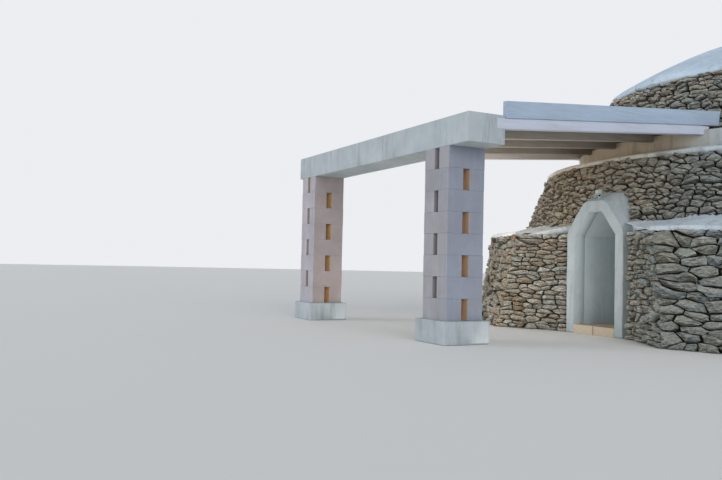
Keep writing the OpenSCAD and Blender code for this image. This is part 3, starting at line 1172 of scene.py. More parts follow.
    def build(self, onto: Mapper) -> tuple[Array, list[Array], dict[str, Array]]:
        """Works out all the stones.

        A stone is a stack of rings that follow its outline: a back ring in the wall, a full one at the
        joint's mouth, a drawn-in shoulder, an inner ring and a middle. Its face stands at its own height,
        leans a little, is struck off flat on some sides, and sinks no deeper than half the stone.

        Args:
            onto: Maps places across, places up and heights over the wall to points.

        Returns:
            The points, the faces, and each point's shade, warmth and share of splashed limewash.
        """
        habits = self.habits
        dice = np.random.default_rng(self.seed)
        u, v, half = self.seeds(dice)
        kept = self.fits(u, v)
        u, v, half = u[kept], v[kept], half[kept]
        across, up = self.outlines(u, v, half, dice)
        count, corners = across.shape
        fullness = np.abs(up).mean(axis=1, keepdims=True) / (habits.usual_half_rise * self.sizes.height)
        relief = self.sizes.relief * np.clip(fullness, *habits.fullness_limits)
        face = np.clip(dice.normal(*habits.face_spread, (count, 1)), *habits.face_limits)
        lean = dice.normal(0.0, habits.lean, (count, 2, 1))
        struck = dice.uniform(0.0, TURN, (habits.strikes, count, 1))
        deep = dice.uniform(*habits.strike_depths, (habits.strikes, count, 1))
        scale = np.hypot(across, up).mean(axis=1, keepdims=True)

        def top(share: float, drop: float, jitter: float) -> Array:
            """Works out the height of a ring.

            Args:
                share: Size of the ring, as a share of the outline.
                drop: How far it lies under the face, in reliefs.
                jitter: How far its points stray, in reliefs.

            Returns:
                Heights over the wall, stones by corners.
            """
            x, y = across * share, up * share
            tilt = lean[:, 0] * x + lean[:, 1] * y
            flat = sum(np.maximum(0.0, (x * np.cos(s) + y * np.sin(s)) / scale - habits.struck_from) * d
                       for s, d in zip(struck, deep)) * relief * habits.struck_slope
            stray = dice.uniform(-1.0, 1.0, x.shape) * (jitter * relief)
            return np.maximum(face + tilt - flat - drop * relief + stray, -self.sizes.depth / 2)

        rings = [(habits.back_ring, np.full((count, corners), -self.sizes.depth))]
        rings += [(ring[0], top(*ring)) for ring in habits.rings]
        middle = face[:, 0] + dice.uniform(*habits.crown, count) * relief[:, 0]
        offset = np.concatenate([across * s for s, _ in rings] + [np.zeros((count, 2))], axis=1)
        rise = np.concatenate([up * s for s, _ in rings] + [np.zeros((count, 2))], axis=1)
        back = np.full((count, 1), -self.sizes.depth)
        height = np.concatenate([h for _, h in rings] + [middle[:, None], back], axis=1)
        points = onto(*self.sway(u[:, None] + offset, v[:, None] + rise), height).reshape(-1, 3)
        points[:, 2] = np.maximum(points[:, 2], 0.0)
        size = len(rings) * corners + 2
        quads = grid_faces(len(rings), corners, False, True)
        fans = np.concatenate([fan_faces((len(rings) - 1) * corners, corners, size - 2),
                               fan_faces(0, corners, size - 1, backwards=True)])
        starts = (np.arange(count) * size)[:, None, None]
        faces = [(quads[None] + starts).reshape(-1, 4), (fans[None] + starts).reshape(-1, 3)]
        # Each stone's random tone, raised by the painted light lift.
        shade = np.repeat(np.clip(dice.normal(0.50 + self.painted_light_lift, 0.30, count), 0.0, 1.0), size)
        warmth = np.repeat(np.clip(dice.normal(0.45, 0.32, count), 0.0, 1.0), size)
        splash = np.clip(1.0 - (self.height - (v[:, None] + rise)) / habits.splash, 0.0, 1.0).ravel()
        log.info("%s: %d stones", self.name, count)
        return points, faces, {"shade": shade, "warmth": warmth, "splash": splash}

    def make(self, onto: Mapper, material: Material) -> None:
        """Builds the stones as one dressed piece.

        Args:
            onto: Maps places across, places up and heights over the wall to points.
            material: The stones' finish.
        """
        points, faces, values = self.build(onto)
        piece = new_mesh(self.name, points, faces)
        piece.data.set_sharp_from_angle(angle=math.radians(36))
        for name, numbers in values.items():
            add_values(piece, name, numbers)
        dress(piece, Slot.STONE, [material])


@dataclass(frozen=True)
class Batter:
    """Leaning face of a round tier, between two heights."""

    foot_radius: float
    top_radius: float
    foot_height: float
    top_height: float

    @property
    def slope_length(self) -> float:
        """Length of the face measured up its lean."""
        return math.hypot(self.top_height - self.foot_height, self.foot_radius - self.top_radius)

    @property
    def radius(self) -> float:
        """Middle radius, at which the face is unrolled."""
        return (self.foot_radius + self.top_radius) / 2

    @property
    def girth(self) -> float:
        """Length of the unrolled face."""
        return TURN * self.radius

    def lowered(self, drop: float) -> "Batter":
        """Carries the face on downwards along its lean, by a drop measured upright."""
        lean = (self.foot_radius - self.top_radius) / (self.top_height - self.foot_height)
        return replace(self, foot_radius=self.foot_radius + drop * lean, foot_height=self.foot_height - drop)

    def onto(self, u: Array, v: Array, height: Array) -> Array:
        """Rolls the flat wall round the house.

        The azimuth grows with u from the portal, anticlockwise from above. The radius falls with v along the
        lean, and the height over the face is laid off square to it.

        Args:
            u: Places across.
            v: Places up the lean.
            height: Heights over the face.

        Returns:
            Points, with 3 as the last axis.
        """
        rise = (self.top_height - self.foot_height) / self.slope_length
        lean = (self.foot_radius - self.top_radius) / self.slope_length
        radius = self.foot_radius - v * lean + height * rise
        azimuth = PORTAL_AZIMUTH + u / self.radius
        return np.stack([radius * np.cos(azimuth), radius * np.sin(azimuth),
                         self.foot_height + v * rise + height * lean], axis=-1)


@dataclass(frozen=True)
class Notch:
    """Flared opening of the lower tier, whose cheeks run from the portal's sides out through the tier."""

    inner_radius: float
    inner_half: float
    outer_radius: float
    outer_half: float

    @property
    def flare(self) -> float:
        """How much half the opening widens for each metre outwards."""
        run = self._along(self.outer_radius, self.outer_half) - self._start
        return (self.outer_half - self.inner_half) / run

    @property
    def _start(self) -> float:
        """Distance of the cheeks' inner ends from the axis plane."""
        return self._along(self.inner_radius, self.inner_half)

    @staticmethod
    def _along(radius: float, half: float) -> float:
        """Distance along X of a point on a circle, half across."""
        return math.sqrt(radius * radius - half * half)

    def half_at(self, along: Array | float) -> Array | float:
        """Half width of the opening at a distance along X."""
        return self.inner_half + self.flare * (along - self._start)

    def azimuth_at(self, radius: Array | float) -> Array | float:
        """Finds the angle from the portal at which a circle meets the cheek, by repeated substitution.

        Args:
            radius: The circle's radius, or several.

        Returns:
            The angle, or as many.
        """
        angle = np.arcsin(self.inner_half / np.asarray(radius, float))
        for _ in range(30):
            half = np.maximum(self.half_at(radius * np.cos(angle)), self.inner_half - 0.06)
            angle = (angle + np.arcsin(np.clip(half / radius, 0.0, 0.9))) / 2
        return angle

    def corner(self, radius: float, side: int) -> Pair:
        """Place where a cheek meets a circle, on the side given by its sign."""
        angle = float(self.azimuth_at(radius))
        return -radius * math.cos(angle), side * radius * math.sin(angle)


@dataclass(frozen=True)
class Finishes:
    """All the house's materials, built once."""

    stone: Material
    core: Material
    lime: Material
    portal: Material
    inside: Material
    passage: Material
    ledge: Material
    cap: Material
    block: Material
    far_block: Material
    beam: Material
    edge: Material
    sunlit_far_edge: Material
    joist: Material
    board: Material
    slab: Material
    lamp: Material
    lens: Material

    @classmethod
    def build(cls) -> "Finishes":
        """Builds the shared groups and then each finish.

        Returns:
            The finishes.
        """
        shared = Effects()
        recipes = {
            "stone": Limestone(),
            "core": WallCore(),
            # The portal, passage, ledges and cap are one limewash in several copies, as painted light and
            # shade: the portal's darker, the passage's and ledges' lighter, the cap's bluest.
            "lime": Limewash(),
            "portal": Limewash("portal_limewash", white=tone(172, 182, 187), stain=tone(150, 160, 165)),
            "inside": Limewash("room_limewash", white=tone(214, 212, 206), stain=tone(176, 172, 162),
                               bump=0.05, stain_share=0.8),
            "passage": Limewash("passage_limewash", white=tone(214, 224, 228), stain=tone(192, 203, 208),
                                streak_share=0.12),
            # The ledges' lighter, bluer white is painted light and sky shade, and their far side whitens
            # further as painted light.
            "ledge": Limewash("ledge_limewash", white=tone(206, 218, 226), stain=tone(176, 192, 204),
                              far_side_light_share=0.85),
            "cap": Limewash("cap_limewash", white=tone(200, 217, 232), stain=tone(166, 188, 206)),
            "block": SawnBlock(),
            # The far pier's copy of the block is lighter and warmer than the near pier's, as painted light.
            "far_block": SawnBlock("far_sawn_block", wash=tone(192, 187, 196), side=tone(179, 165, 161),
                                   thin=tone(164, 160, 166), warm_tone=tone(238, 204, 156)),
            # The front board keeps the blue-grey paint, as painted sky shade.
            "beam": PaintedTimber("beam_paint", Grain.ALONG_X),
            # The joists are one white paint in three copies: joist_1's lighter and bluish as painted light,
            # joist_5's near white as painted sunlight, and the joists between darker and brownish as painted
            # shade under the deck.
            "edge": PaintedTimber("edge_paint", Grain.ALONG_X, tone(194, 202, 218), tone(168, 166, 172)),
            "sunlit_far_edge": PaintedTimber("far_edge_paint", Grain.ALONG_X, tone(244, 238, 236),
                                      tone(212, 204, 200)),
            "joist": PaintedTimber("joist_paint", Grain.ALONG_X, tone(166, 160, 152), tone(126, 112, 98)),
            "board": PaintedTimber("board_paint", Grain.ALONG_Y, tone(200, 198, 192), tone(150, 145, 138)),
            "slab": FloorSlab(),
            "lamp": LampMetal(),
            "lens": LampMetal("lamp_lens", coat=tone(20, 22, 24), dust=tone(40, 40, 40), roughness=0.15,
                              metallic=0.0),
        }
        made = {}
        for name, recipe in recipes.items():
            surface = Surface(recipe.name, shared)
            recipe.lay(surface)
            made[name] = surface.material
        log.info("finishes: %d", len(made))
        return cls(**made)


@dataclass
class House:
    """The three drystone tiers with their ledges, ring, cap and notch."""

    finishes: Finishes
    joint_depth: float = 0.080
    cheek_reach: float = 0.06
    # Painted light on the near cheek's stones.
    near_cheek_light_lift: float = 0.35
    ledge_dip: float = 0.078
    ledge_overlap: float = 0.03
    ledge_lip: float = 0.008
    ledge_edge: float = 0.040
    edge_rounding: float = 0.03
    dome_rise: float = 1.6
    edge_wander: Triple = (0.012, 0.006, 0.004)
    slope_wander: Triple = (0.0, 0.009, 0.003)
    top_wander: Triple = (0.0, 0.014, 0.026)
    under_wander: Triple = (0.012, 0.010, 0.020)
    cap_edge_wander: Pair = (0.014, 0.014)
    dome_wander: Pair = (0.006, 0.012)
    small: StoneSizes = StoneSizes(0.142, 0.073, joint=0.004, relief=0.018, corners=10)
    flat: StoneSizes = StoneSizes(0.170, 0.062, joint=0.004, relief=0.018)
    large: StoneSizes = StoneSizes(0.235, 0.100, joint=0.003, relief=0.024)
    lower: Batter = field(init=False)
    middle: Batter = field(init=False)
    upper: Batter = field(init=False)
    notch: Notch = field(init=False)

    def __post_init__(self) -> None:
        """Reads the tiers' faces and the notch from the frame."""
        ledge, ledge_top = (float(corner[2]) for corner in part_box("lower_ledge"))
        shelf = float(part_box("middle_ledge")[0][2])
        ring_top = float(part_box("joist_ring")[1][2])
        eaves = float(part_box("roof_cap")[0][2])
        self.lower = Batter(radius_at("lower_wall_3", 0.0), radius_at("lower_wall_3", ledge), 0.0, ledge)
        self.middle = Batter(radius_at("middle_wall_4", 0.0), radius_at("middle_wall_4", shelf), ledge_top,
                             shelf)
        self.upper = Batter(radius_at("upper_wall_3", ring_top), radius_at("upper_wall_3", eaves), ring_top,
                            eaves)
        self.notch = self._read_notch()

    def _read_notch(self) -> Notch:
        """Finds the notch's four corners among the points of the wall beside it.

        Returns:
            The notch.
        """
        top = points_at("lower_wall_1", self.lower.top_height)
        radii = np.hypot(*top[:, :2].T)
        beside = top[(radii > self.middle.foot_radius + 0.01) & (radii < self.lower.top_radius - 0.01)]
        inner = beside[beside[:, 0].argmin()]
        outer = top[np.abs(radii - self.lower.top_radius) < 0.003]
        return Notch(float(np.hypot(inner[0], inner[1])), abs(float(inner[1])),
                     self.lower.top_radius, float(np.abs(outer[outer[:, 0] < 0][:, 1]).min()))

    def portal_arch(self, batter: Batter) -> Arch:
        """Outline of the portal on a tier's unrolled face.

        Args:
            batter: The face.

        Returns:
            The outline, with its heights measured up the face.
        """
        shape = PortalShape.read()
        plain = shape.outline(shape.growth(-batter.foot_radius))
        stretch = batter.slope_length / (batter.top_height - batter.foot_height)
        return Arch(plain.half_width, (plain.shoulder - batter.foot_height) * stretch,
                    (plain.head - batter.foot_height) * stretch, plain.half_head)

    def build(self) -> None:
        """Builds every piece of the house's outside."""
        self.cores()
        self.lower_stones()
        self.cheek_stones()
        self.middle_stones()
        self.upper_stones()
        self.ledges()
        self.ring()
        self.cap()

    def cores(self) -> None:
        """Draws the walls' outer faces in by the joints' depth, so that the stones stand before earth.

        A point on the leaning face moves towards the axis, one on a cheek of the notch moves sideways, and
        the faces of the room get its limewash.
        """
        names = sorted(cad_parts)
        for tier, batter in (("lower", self.lower), ("middle", self.middle), ("upper", self.upper)):
            nodes = [n for n in names if n.startswith(tier + "_wall")]
            nodes += ["door_head"] if tier == "middle" else []
            piece = joined_copy(tier + "_core", nodes, flatten=False)
            mesh = piece.data
            points = points_of(mesh)
            radius = np.hypot(*points[:, :2].T)
            share = (points[:, 2] - batter.foot_height) / (batter.top_height - batter.foot_height)
            face = batter.foot_radius + np.clip(share, 0.0, 1.0) * (batter.top_radius - batter.foot_radius)
            outer = radius > face - 0.004
            points[outer, :2] *= ((radius[outer] - self.joint_depth) / radius[outer])[:, None]
            if tier == "lower":
                half = self.notch.half_at(-points[:, 0] + self.joint_depth * outer)
                cheek = (points[:, 0] < 0) & (np.abs(points[:, 1]) < half + self.cheek_reach)
                points[cheek, 1] += np.sign(points[cheek, 1]) * self.joint_depth
            move_points(mesh, points)
            middles = np.empty(len(mesh.polygons) * 3)
            mesh.polygons.foreach_get("center", middles)
            middles = middles.reshape(-1, 3)
            inside = np.hypot(*middles[:, :2].T) < radius_at("room_floor", 0.0) + 0.02
            mesh.polygons.foreach_set("material_index", inside.astype(np.int32))
            dress(piece, Slot.STONE, [self.finishes.core, self.finishes.inside], *nodes)

    def lower_stones(self) -> None:
        """Lays the lower tier's large flat stones up to the notch's two edges."""
        face = self.lower
        top = float(self.notch.azimuth_at(face.top_radius)) * face.radius
        foot = float(self.notch.azimuth_at(face.foot_radius)) * face.radius
        tall, middle = face.slope_length, (face.girth / 2, face.slope_length / 2)
        sides = [Line.through((foot, 0.0), (top, tall), middle),
                 Line.through((face.girth - foot, 0.0), (face.girth - top, tall), middle)]
        lay = StoneLay("lower_stones", face.girth, tall, self.large, 11, True, between(0.0, tall) + sides)
        lay.make(face.onto, self.finishes.stone)

    def cheek_stones(self) -> None:
        """Lays the stones of the notch's two upright cheeks."""
        for side, label in ((-1, "near_cheek_stones"), (1, "far_cheek_stones")):
            inner = np.array(self.notch.corner(self.notch.inner_radius, side))
            outer = np.array(self.notch.corner(self.lower.foot_radius, side))
            top = np.array(self.notch.corner(self.lower.top_radius, side))
            start, end = (inner, outer) if side < 0 else (outer, inner)
            length, tall = float(np.linalg.norm(end - start)), self.lower.top_height
            along = (end - start) / length
            square = np.array([along[1], -along[0]])
            top_u = float((top - start) @ along)
            foot_u = float((outer - start) @ along)
            sides = [Line(-1.0, 0.0, 0.0), Line(1.0, 0.0, length),
                     Line.through((foot_u, 0.0), (top_u, tall), (length / 2, tall / 2))]

            def onto(u: Array, v: Array, height: Array, start: Array = start, along: Array = along,
                     square: Array = square) -> Array:
                """Stands the flat wall upright along the cheek, with the height laid off square to it."""
                return np.stack([start[0] + u * along[0] + height * square[0],
                                 start[1] + u * along[1] + height * square[1], v], axis=-1)

            lay = StoneLay(label, length, tall, self.flat, 23 + side, False, between(0.0, tall) + sides,
                           painted_light_lift=self.near_cheek_light_lift if side < 0 else 0.0)
            lay.make(onto, self.finishes.stone)

    def middle_stones(self) -> None:
        """Lays the middle tier's small stones round the portal's head, from just under the ledge's top."""
        face = self.middle.lowered(self.ledge_dip + self.ledge_overlap)
        tall = face.slope_length
        lay = StoneLay("middle_stones", face.girth, tall, self.small, 31, True, between(0.0, tall),
                       self.portal_arch(face), (0.0, face.girth))
        lay.make(face.onto, self.finishes.stone)

    def upper_stones(self) -> None:
        """Lays the upper tier's stones between the ring and the cap."""
        face, tall = self.upper, self.upper.slope_length
        lay = StoneLay("upper_stones", face.girth, tall, self.flat, 41, True, between(0.0, tall))
        lay.make(face.onto, self.finishes.stone)

    def turned(self, name: str, profile: Array, wander: Array, columns: int, seed: int,
               notch: Notch | None = None) -> Piece:
        """Turns a closed profile round the axis as uneven plaster.

        Each point's radius and height wander by a ripple of its azimuth, times its own allowance. If a notch
        is given, the azimuth runs from one cheek to the other and flat ends close the shape.

        Args:
            name: Name of the piece.
            profile: Closed loop of radius and height, from the outside bottom upwards and inwards.
            wander: For each profile point, how far its radius and height may wander over a metre or so, and
                how far its height may wander from stone to stone.
            columns: Number of stations round the axis.
            seed: Seed of the ripples.
            notch: The opening to leave.

        Returns:
            The mesh object, not yet dressed.
        """
        share = np.arange(columns) / (columns - (1 if notch else 0))
        radius, height = profile[:, 0][:, None], profile[:, 1][:, None]
        start = (notch.azimuth_at(profile[:, 0]) if notch else np.zeros(len(profile)))[:, None]
        azimuth = PORTAL_AZIMUTH + start + (TURN - 2 * start) * share[None, :]
        radius = radius + wander[:, 0][:, None] * ripple(azimuth, height, seed)
        height = height + wander[:, 1][:, None] * ripple(azimuth, radius, seed + 1)
        height = height + wander[:, 2][:, None] * ripple(azimuth, radius, seed + 2, coarse=70, count=16)
        points = np.stack([radius * np.cos(azimuth), radius * np.sin(azimuth),
                           np.broadcast_to(height, azimuth.shape)], axis=-1).reshape(-1, 3)
        rows = len(profile)
        faces = [grid_faces(rows, columns, True, notch is None)]
        if notch:
            rim = np.arange(rows) * columns
            faces += [rim[None], (rim + columns - 1)[::-1][None]]
        return new_mesh(name, points, faces)

    def ledges(self) -> None:
        """Lays the two sloping ledges of white plaster over the tiers' tops."""
        self._ledge("lower_ledge", self.lower.top_radius, self.middle.foot_radius, columns=840, seed=51,
                    notch=self.notch)
        self._ledge("middle_ledge", self.middle.top_radius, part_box("joist_ring")[1][1], columns=720, seed=61)

    def _ledge(self, node: str, outer: float, inner: float, columns: int, seed: int,
               notch: Notch | None = None) -> None:
        """Builds one ledge, as a profile turned about the axis.

        The profile runs round the edge, up the slope through the solid's own knee, and back underneath.

        Args:
            node: The CAD node that it stands for.
            outer: Radius of its edge.
            inner: Radius at which its slope ends.
            columns: Stations round the axis.
            seed: Seed of its unevenness.
            notch: The opening to leave.
        """
        foot, top = (corner[2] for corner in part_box(node))
        lip, edge, rounding, bend = self.ledge_lip, self.ledge_edge, self.edge_rounding, round_corner()
        round_edge = np.stack([outer + lip - rounding + rounding * np.cos(bend),
                               foot + edge - 0.028 + rounding * np.sin(bend)], axis=1)
        pairs = profile_of(node)
        knees = pairs[(pairs[:, 1] > foot + edge + 0.01) & (pairs[:, 1] < top - 0.01)][::-1]
        course = np.concatenate([[[outer - rounding, foot + edge]], knees[:1], [[inner, top]]])
        slope = eased(evened(course, 20), 1)
        back = [[inner - 0.05, top + 0.01], [inner - 0.05, foot + 0.01], [outer - 0.10, foot + 0.01],
                [outer - 0.02, foot - 0.02], [outer + lip - 0.004, foot - 0.016]]
        profile = np.concatenate([round_edge, slope[1:], back])
        wander = np.zeros((len(profile), 3))
        last = len(round_edge) + len(slope) - 1
        wander[:len(round_edge)] = self.edge_wander
        wander[len(round_edge):last] = self.slope_wander
        wander[last - 1:last + 1] = self.top_wander
        wander[-1] = self.under_wander
        piece = self.turned(node + "_plaster", profile, wander, columns, seed, notch)
        if notch:
            self._dip(piece, foot + edge, float(course[-2, 1]))
            soften(piece, 0.016, 3)
        dress(piece, Slot.PLASTER, [self.finishes.ledge], node)

    def _dip(self, piece: Piece, low: float, high: float) -> None:
        """Lets the ledge lie flatter beside the portal, with its fillet as high as elsewhere.

        The drop is a bell curve of the azimuth, wider on the far side, times a point's share of the slope's
        rise.

        Args:
            piece: The ledge.
            low: Height at which the rise starts.
            high: Height at which the slope meets the fillet.
        """
        points = points_of(piece.data)
        aside = np.arctan2(-points[:, 1], -points[:, 0])
        bell = np.exp(-(aside / np.where(aside > 0, 0.30, 0.60)) ** 2)
        points[:, 2] -= self.ledge_dip * bell * np.clip((points[:, 2] - low) / (high - low), 0.0, 1.0)
        move_points(piece.data, points)

    def ring(self) -> None:
        """Rounds the edges of the ring that carries the joists."""
        piece = joined_copy("ring_plaster", ["joist_ring"])
        soften(piece, 0.014, 3)
        dress(piece, Slot.PLASTER, [self.finishes.ledge], "joist_ring")

    def _cap_lines(self, edge_radius: float) -> tuple[Array, Array]:
        """Splits the cap's solid into the two lines of its profile.

        A point that another one passes in both radius and height belongs to the vault inside, and the rest
        to the dome, where each is averaged with its neighbours.

        Args:
            edge_radius: Radius of the cap's edge.

        Returns:
            The vault's line from its foot to the axis and the dome's from its edge to the axis, as radius and
            height.
        """
        pairs = profile_of("roof_cap")
        beyond = (pairs[None] >= pairs[:, None]).all(axis=2).sum(axis=1) > 1
        vault = pairs[beyond & (pairs[:, 0] < edge_radius - 0.01)]
        vault = vault[np.lexsort((-vault[:, 0], vault[:, 1]))]
        outside = pairs[~beyond]
        outside = outside[np.argsort(outside[:, 0], kind="stable")[::-1]]
        return np.concatenate([vault, [[0.0, vault[-1, 1]]]]), eased(evened(outside, 40), 12)

    def cap(self) -> None:
        """Lays the rounded cap, with the vault's stepped top inside it.

        Its profile is turned about the axis, and each point's radius and height wander by a ripple of its
        azimuth. That fades towards the top by 1 less a bell curve of the radius.
        """
        low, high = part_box("roof_cap")
        edge_radius, columns = float(high[1]), 300
        vault, dome = self._cap_lines(edge_radius)
        edge = np.array([[edge_radius - 0.10, low[2] + 0.004], [edge_radius + 0.012, low[2] - 0.012],
                         [edge_radius + 0.016, low[2] + 0.03]])
        dome[0] += (-0.004, -0.010)
        profile = np.concatenate([vault[::-1], edge, dome])
        profile[0, 0] = profile[-1, 0] = 0.0
        wander = np.zeros_like(profile)
        wander[len(vault) + 1:len(vault) + 4] = self.cap_edge_wander
        fade = (1.0 - np.exp(-(dome[:, 0] / self.dome_rise) ** 2))[:, None]
        wander[len(profile) - len(dome):] = np.array([self.dome_wander]) * fade
        share = np.arange(columns) / columns
        azimuth = np.broadcast_to(PORTAL_AZIMUTH + TURN * share[None], (len(profile), columns))
        level = np.broadcast_to(profile[:, 1:], azimuth.shape)
        radius = profile[:, :1] + wander[:, :1] * ripple(azimuth, level, 71)
        height = profile[:, 1:] + wander[:, 1:] * ripple(azimuth, radius * 0.6, 72)
        shape = np.stack([radius * np.cos(azimuth), radius * np.sin(azimuth), height], axis=-1)
        rows = len(profile) - 2
        points = np.concatenate([shape[1:-1].reshape(-1, 3), [[0, 0, profile[0, 1]], [0, 0, profile[-1, 1]]]])
        fans = np.concatenate([fan_faces(0, columns, rows * columns, backwards=True),
                               fan_faces((rows - 1) * columns, columns, rows * columns + 1)])
        piece = new_mesh("cap_plaster", points, [grid_faces(rows, columns, False, True), fans])
        dress(piece, Slot.PLASTER, [self.finishes.cap], "roof_cap")


@dataclass
class Entrance:
    """The plaster portal, the lined passage, the floors and the lamp over the doorway."""

    finishes: Finishes
    inner_rounding: float = 0.014
    side_depth: float = 0.33
    reveal_cover: float = 0.0015
    unevenness: float = 0.005
    widening: float = 0.006
    head_radius: float = 0.023
    head_length: float = 0.046
    head_columns: int = 32
    near_aim: Triple = (-0.42, -0.66, -0.50)
    far_aim: Triple = (-0.84, 0.22, -0.50)
    rim: float = 0.004

    def build(self) -> None:
        """Builds the portal, refinishes the passage and floors, and builds the lamp."""
        self.portal()
        refinish("passage_lining", self.finishes.passage)
        refinish("threshold", self.finishes.slab)
        refinish("room_floor", self.finishes.slab)
        self.lamp()

    def portal(self) -> None:
        """Lays the portal's plaster as one closed surface with a soft, hand-made edge.

        Its rows are the door's outline grown step by step: out of the doorway, round a small inner edge, over
        the face, round the outer edge and back to the wall along the spreading sides. Its columns run up one
        side, over the head and down the other, and flat ends close it at the ground.
        """
        shape, bend, soft = PortalShape.read(), round_corner(), self.inner_rounding
        inner = np.stack([soft * (1 - np.sin(bend)), soft * (1 - np.cos(bend))], axis=1)[::-1]
        outer = np.stack([shape.rim - shape.rounding * (1 - np.sin(bend)),
                          shape.rounding * (1 - np.cos(bend))], axis=1)
        face = np.linspace(soft, shape.rim - shape.rounding, 7)[1:-1]
        far = np.linspace(shape.rounding, self.side_depth, 9)[1:]
        sides = np.stack([shape.rim + shape.spread * (far - shape.rounding), far], axis=1)
        cover = self.reveal_cover
        rows = np.concatenate([[[-cover, 0.20], [-cover, 0.10]], inner - [[cover, 0.0]],
                               np.stack([face, np.zeros(len(face))], axis=1), outer, sides])
        stations = (34, 18, 12, 18, 34)
        share = np.concatenate([i + np.linspace(0, 1, n)[:-1] for i, n in enumerate(stations)]
                               + [[len(stations)]])
        lines = []
        for grown, _ in rows:
            arch = shape.outline(float(grown))
            rising = np.array([[-arch.half_width, 0.0], [-arch.half_width, arch.shoulder],
                               [-arch.half_head, arch.head]])
            corners = np.concatenate([rising, rising[::-1] * (-1.0, 1.0)])
            line = np.stack([np.interp(share, np.arange(6), corners[:, k]) for k in (0, 1)], axis=1)
            lines.append(eased(line, int(np.clip(grown / 0.03, 0, 5))))
        lines, depth = np.array(lines), rows[:, 1][:, None]
        along, level = np.broadcast_to(share * 0.9, lines.shape[:2]), rows.sum(axis=1)[:, None] * 4.0
        loose = np.clip(rows[:, 0] / 0.05, 0.0, 1.0)[:, None]
        swell = self.unevenness * loose * ripple(along, level, 81, coarse=2)
        widened = 1 + self.widening * loose * ripple(along, level, 82, coarse=2)
        points = np.stack([shape.front + depth + swell, lines[..., 0] * widened,
                           np.maximum(lines[..., 1], 0.0)], axis=-1)
        columns = len(share)
        ends = np.arange(len(rows)) * columns
        faces = [grid_faces(len(rows), columns, True, False)[:, ::-1], ends[::-1][None],
                 (ends + columns - 1)[None]]
        piece = new_mesh("portal_plaster", points.reshape(-1, 3), faces)
        reveal = np.zeros(len(piece.data.polygons), np.int32)
        reveal[:4 * (columns - 1)] = 1
        piece.data.polygons.foreach_set("material_index", reveal)
        dress(piece, Slot.PLASTER, [self.finishes.portal, self.finishes.passage], "portal")

    def lamp(self) -> None:
        """Builds the lamp's box on its stem and its two turned heads, each with a sunk lens."""
        low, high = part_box("portal_lamp")
        width = float(high[1] - low[1])
        middle, under = float(high[0]) - width / 3, float(high[2]) - 0.8 * width
        columns = self.head_columns
        turns = TURN * np.arange(columns) / columns
        radius, length, rim = self.head_radius, self.head_length, self.rim
        profile = np.array([[0.55 * radius, -0.004], [0.92 * radius, 0.0], [radius, 0.006],
                            [radius, length - 0.014], [radius + 0.0015, length - 0.012],
                            [radius + 0.0015, length], [radius - rim, length],
                            [radius - rim, length - 0.010]])
        rows = len(profile)
        shell = np.stack([profile[:, :1] * np.cos(turns), profile[:, :1] * np.sin(turns),
                          np.broadcast_to(profile[:, 1:], (rows, columns))], axis=-1).reshape(-1, 3)
        points = np.concatenate([shell, [[0, 0, -0.004], [0, 0, length - 0.008]]])
        faces = [grid_faces(rows, columns, False, True),
                 fan_faces(0, columns, rows * columns, backwards=True),
                 fan_faces((rows - 1) * columns, columns, rows * columns + 1)]
        for side, label, aim in ((-1, "near", self.near_aim), (1, "far", self.far_aim)):
            place = (Matrix.Translation((middle - 0.008, side * width / 5, under + 0.004))
                     @ Vector(aim).to_track_quat("Z", "Y").to_matrix().to_4x4())
            turned = points @ np.array(place.to_3x3()).T + np.array(place.translation)
            head = new_mesh(label + "_lamp_head", turned, faces)
            lens = np.zeros(len(head.data.polygons), np.int32)
            lens[-columns:] = 1
            head.data.polygons.foreach_set("material_index", lens)
            dress(head, Slot.LAMP, [self.finishes.lamp, self.finishes.lens], "portal_lamp")
        box_low = [[middle - width / 3, -width / 2, under], [middle, -width / 6, low[2]]]
        box_high = [[middle + width / 3, width / 2, high[2]],
                    [middle + width / 3 - 0.001, width / 6, under + 0.01]]
        box = new_mesh("lamp_box", *boxes(np.array(box_low), np.array(box_high)))
        soften(box, 0.004, 2)
        dress(box, Slot.LAMP, [self.finishes.lamp])


def boxes(low: Array, high: Array) -> tuple[Array, list[Array]]:
    """Plain boxes between pairs of corners, for a Bevel modifier to finish.

    Args:
        low: Lowest corners, n by 3.
        high: Highest corners, n by 3.

    Returns:
        The points and the faces, which run -X, +X, -Y, +Y, -Z, +Z in each box.
    """
    corner = np.array([[0, 0, 0], [1, 0, 0], [1, 1, 0], [0, 1, 0],
                       [0, 0, 1], [1, 0, 1], [1, 1, 1], [0, 1, 1]], float)
    points = low[:, None, :] + corner[None] * (high - low)[:, None, :]
    sides = np.array([[0, 4, 7, 3], [1, 2, 6, 5], [0, 1, 5, 4], [3, 7, 6, 2], [0, 3, 2, 1], [4, 5, 6, 7]])
    faces = (sides[None] + (np.arange(len(low)) * 8)[:, None, None]).reshape(-1, 4)
    return points.reshape(-1, 3), [faces]


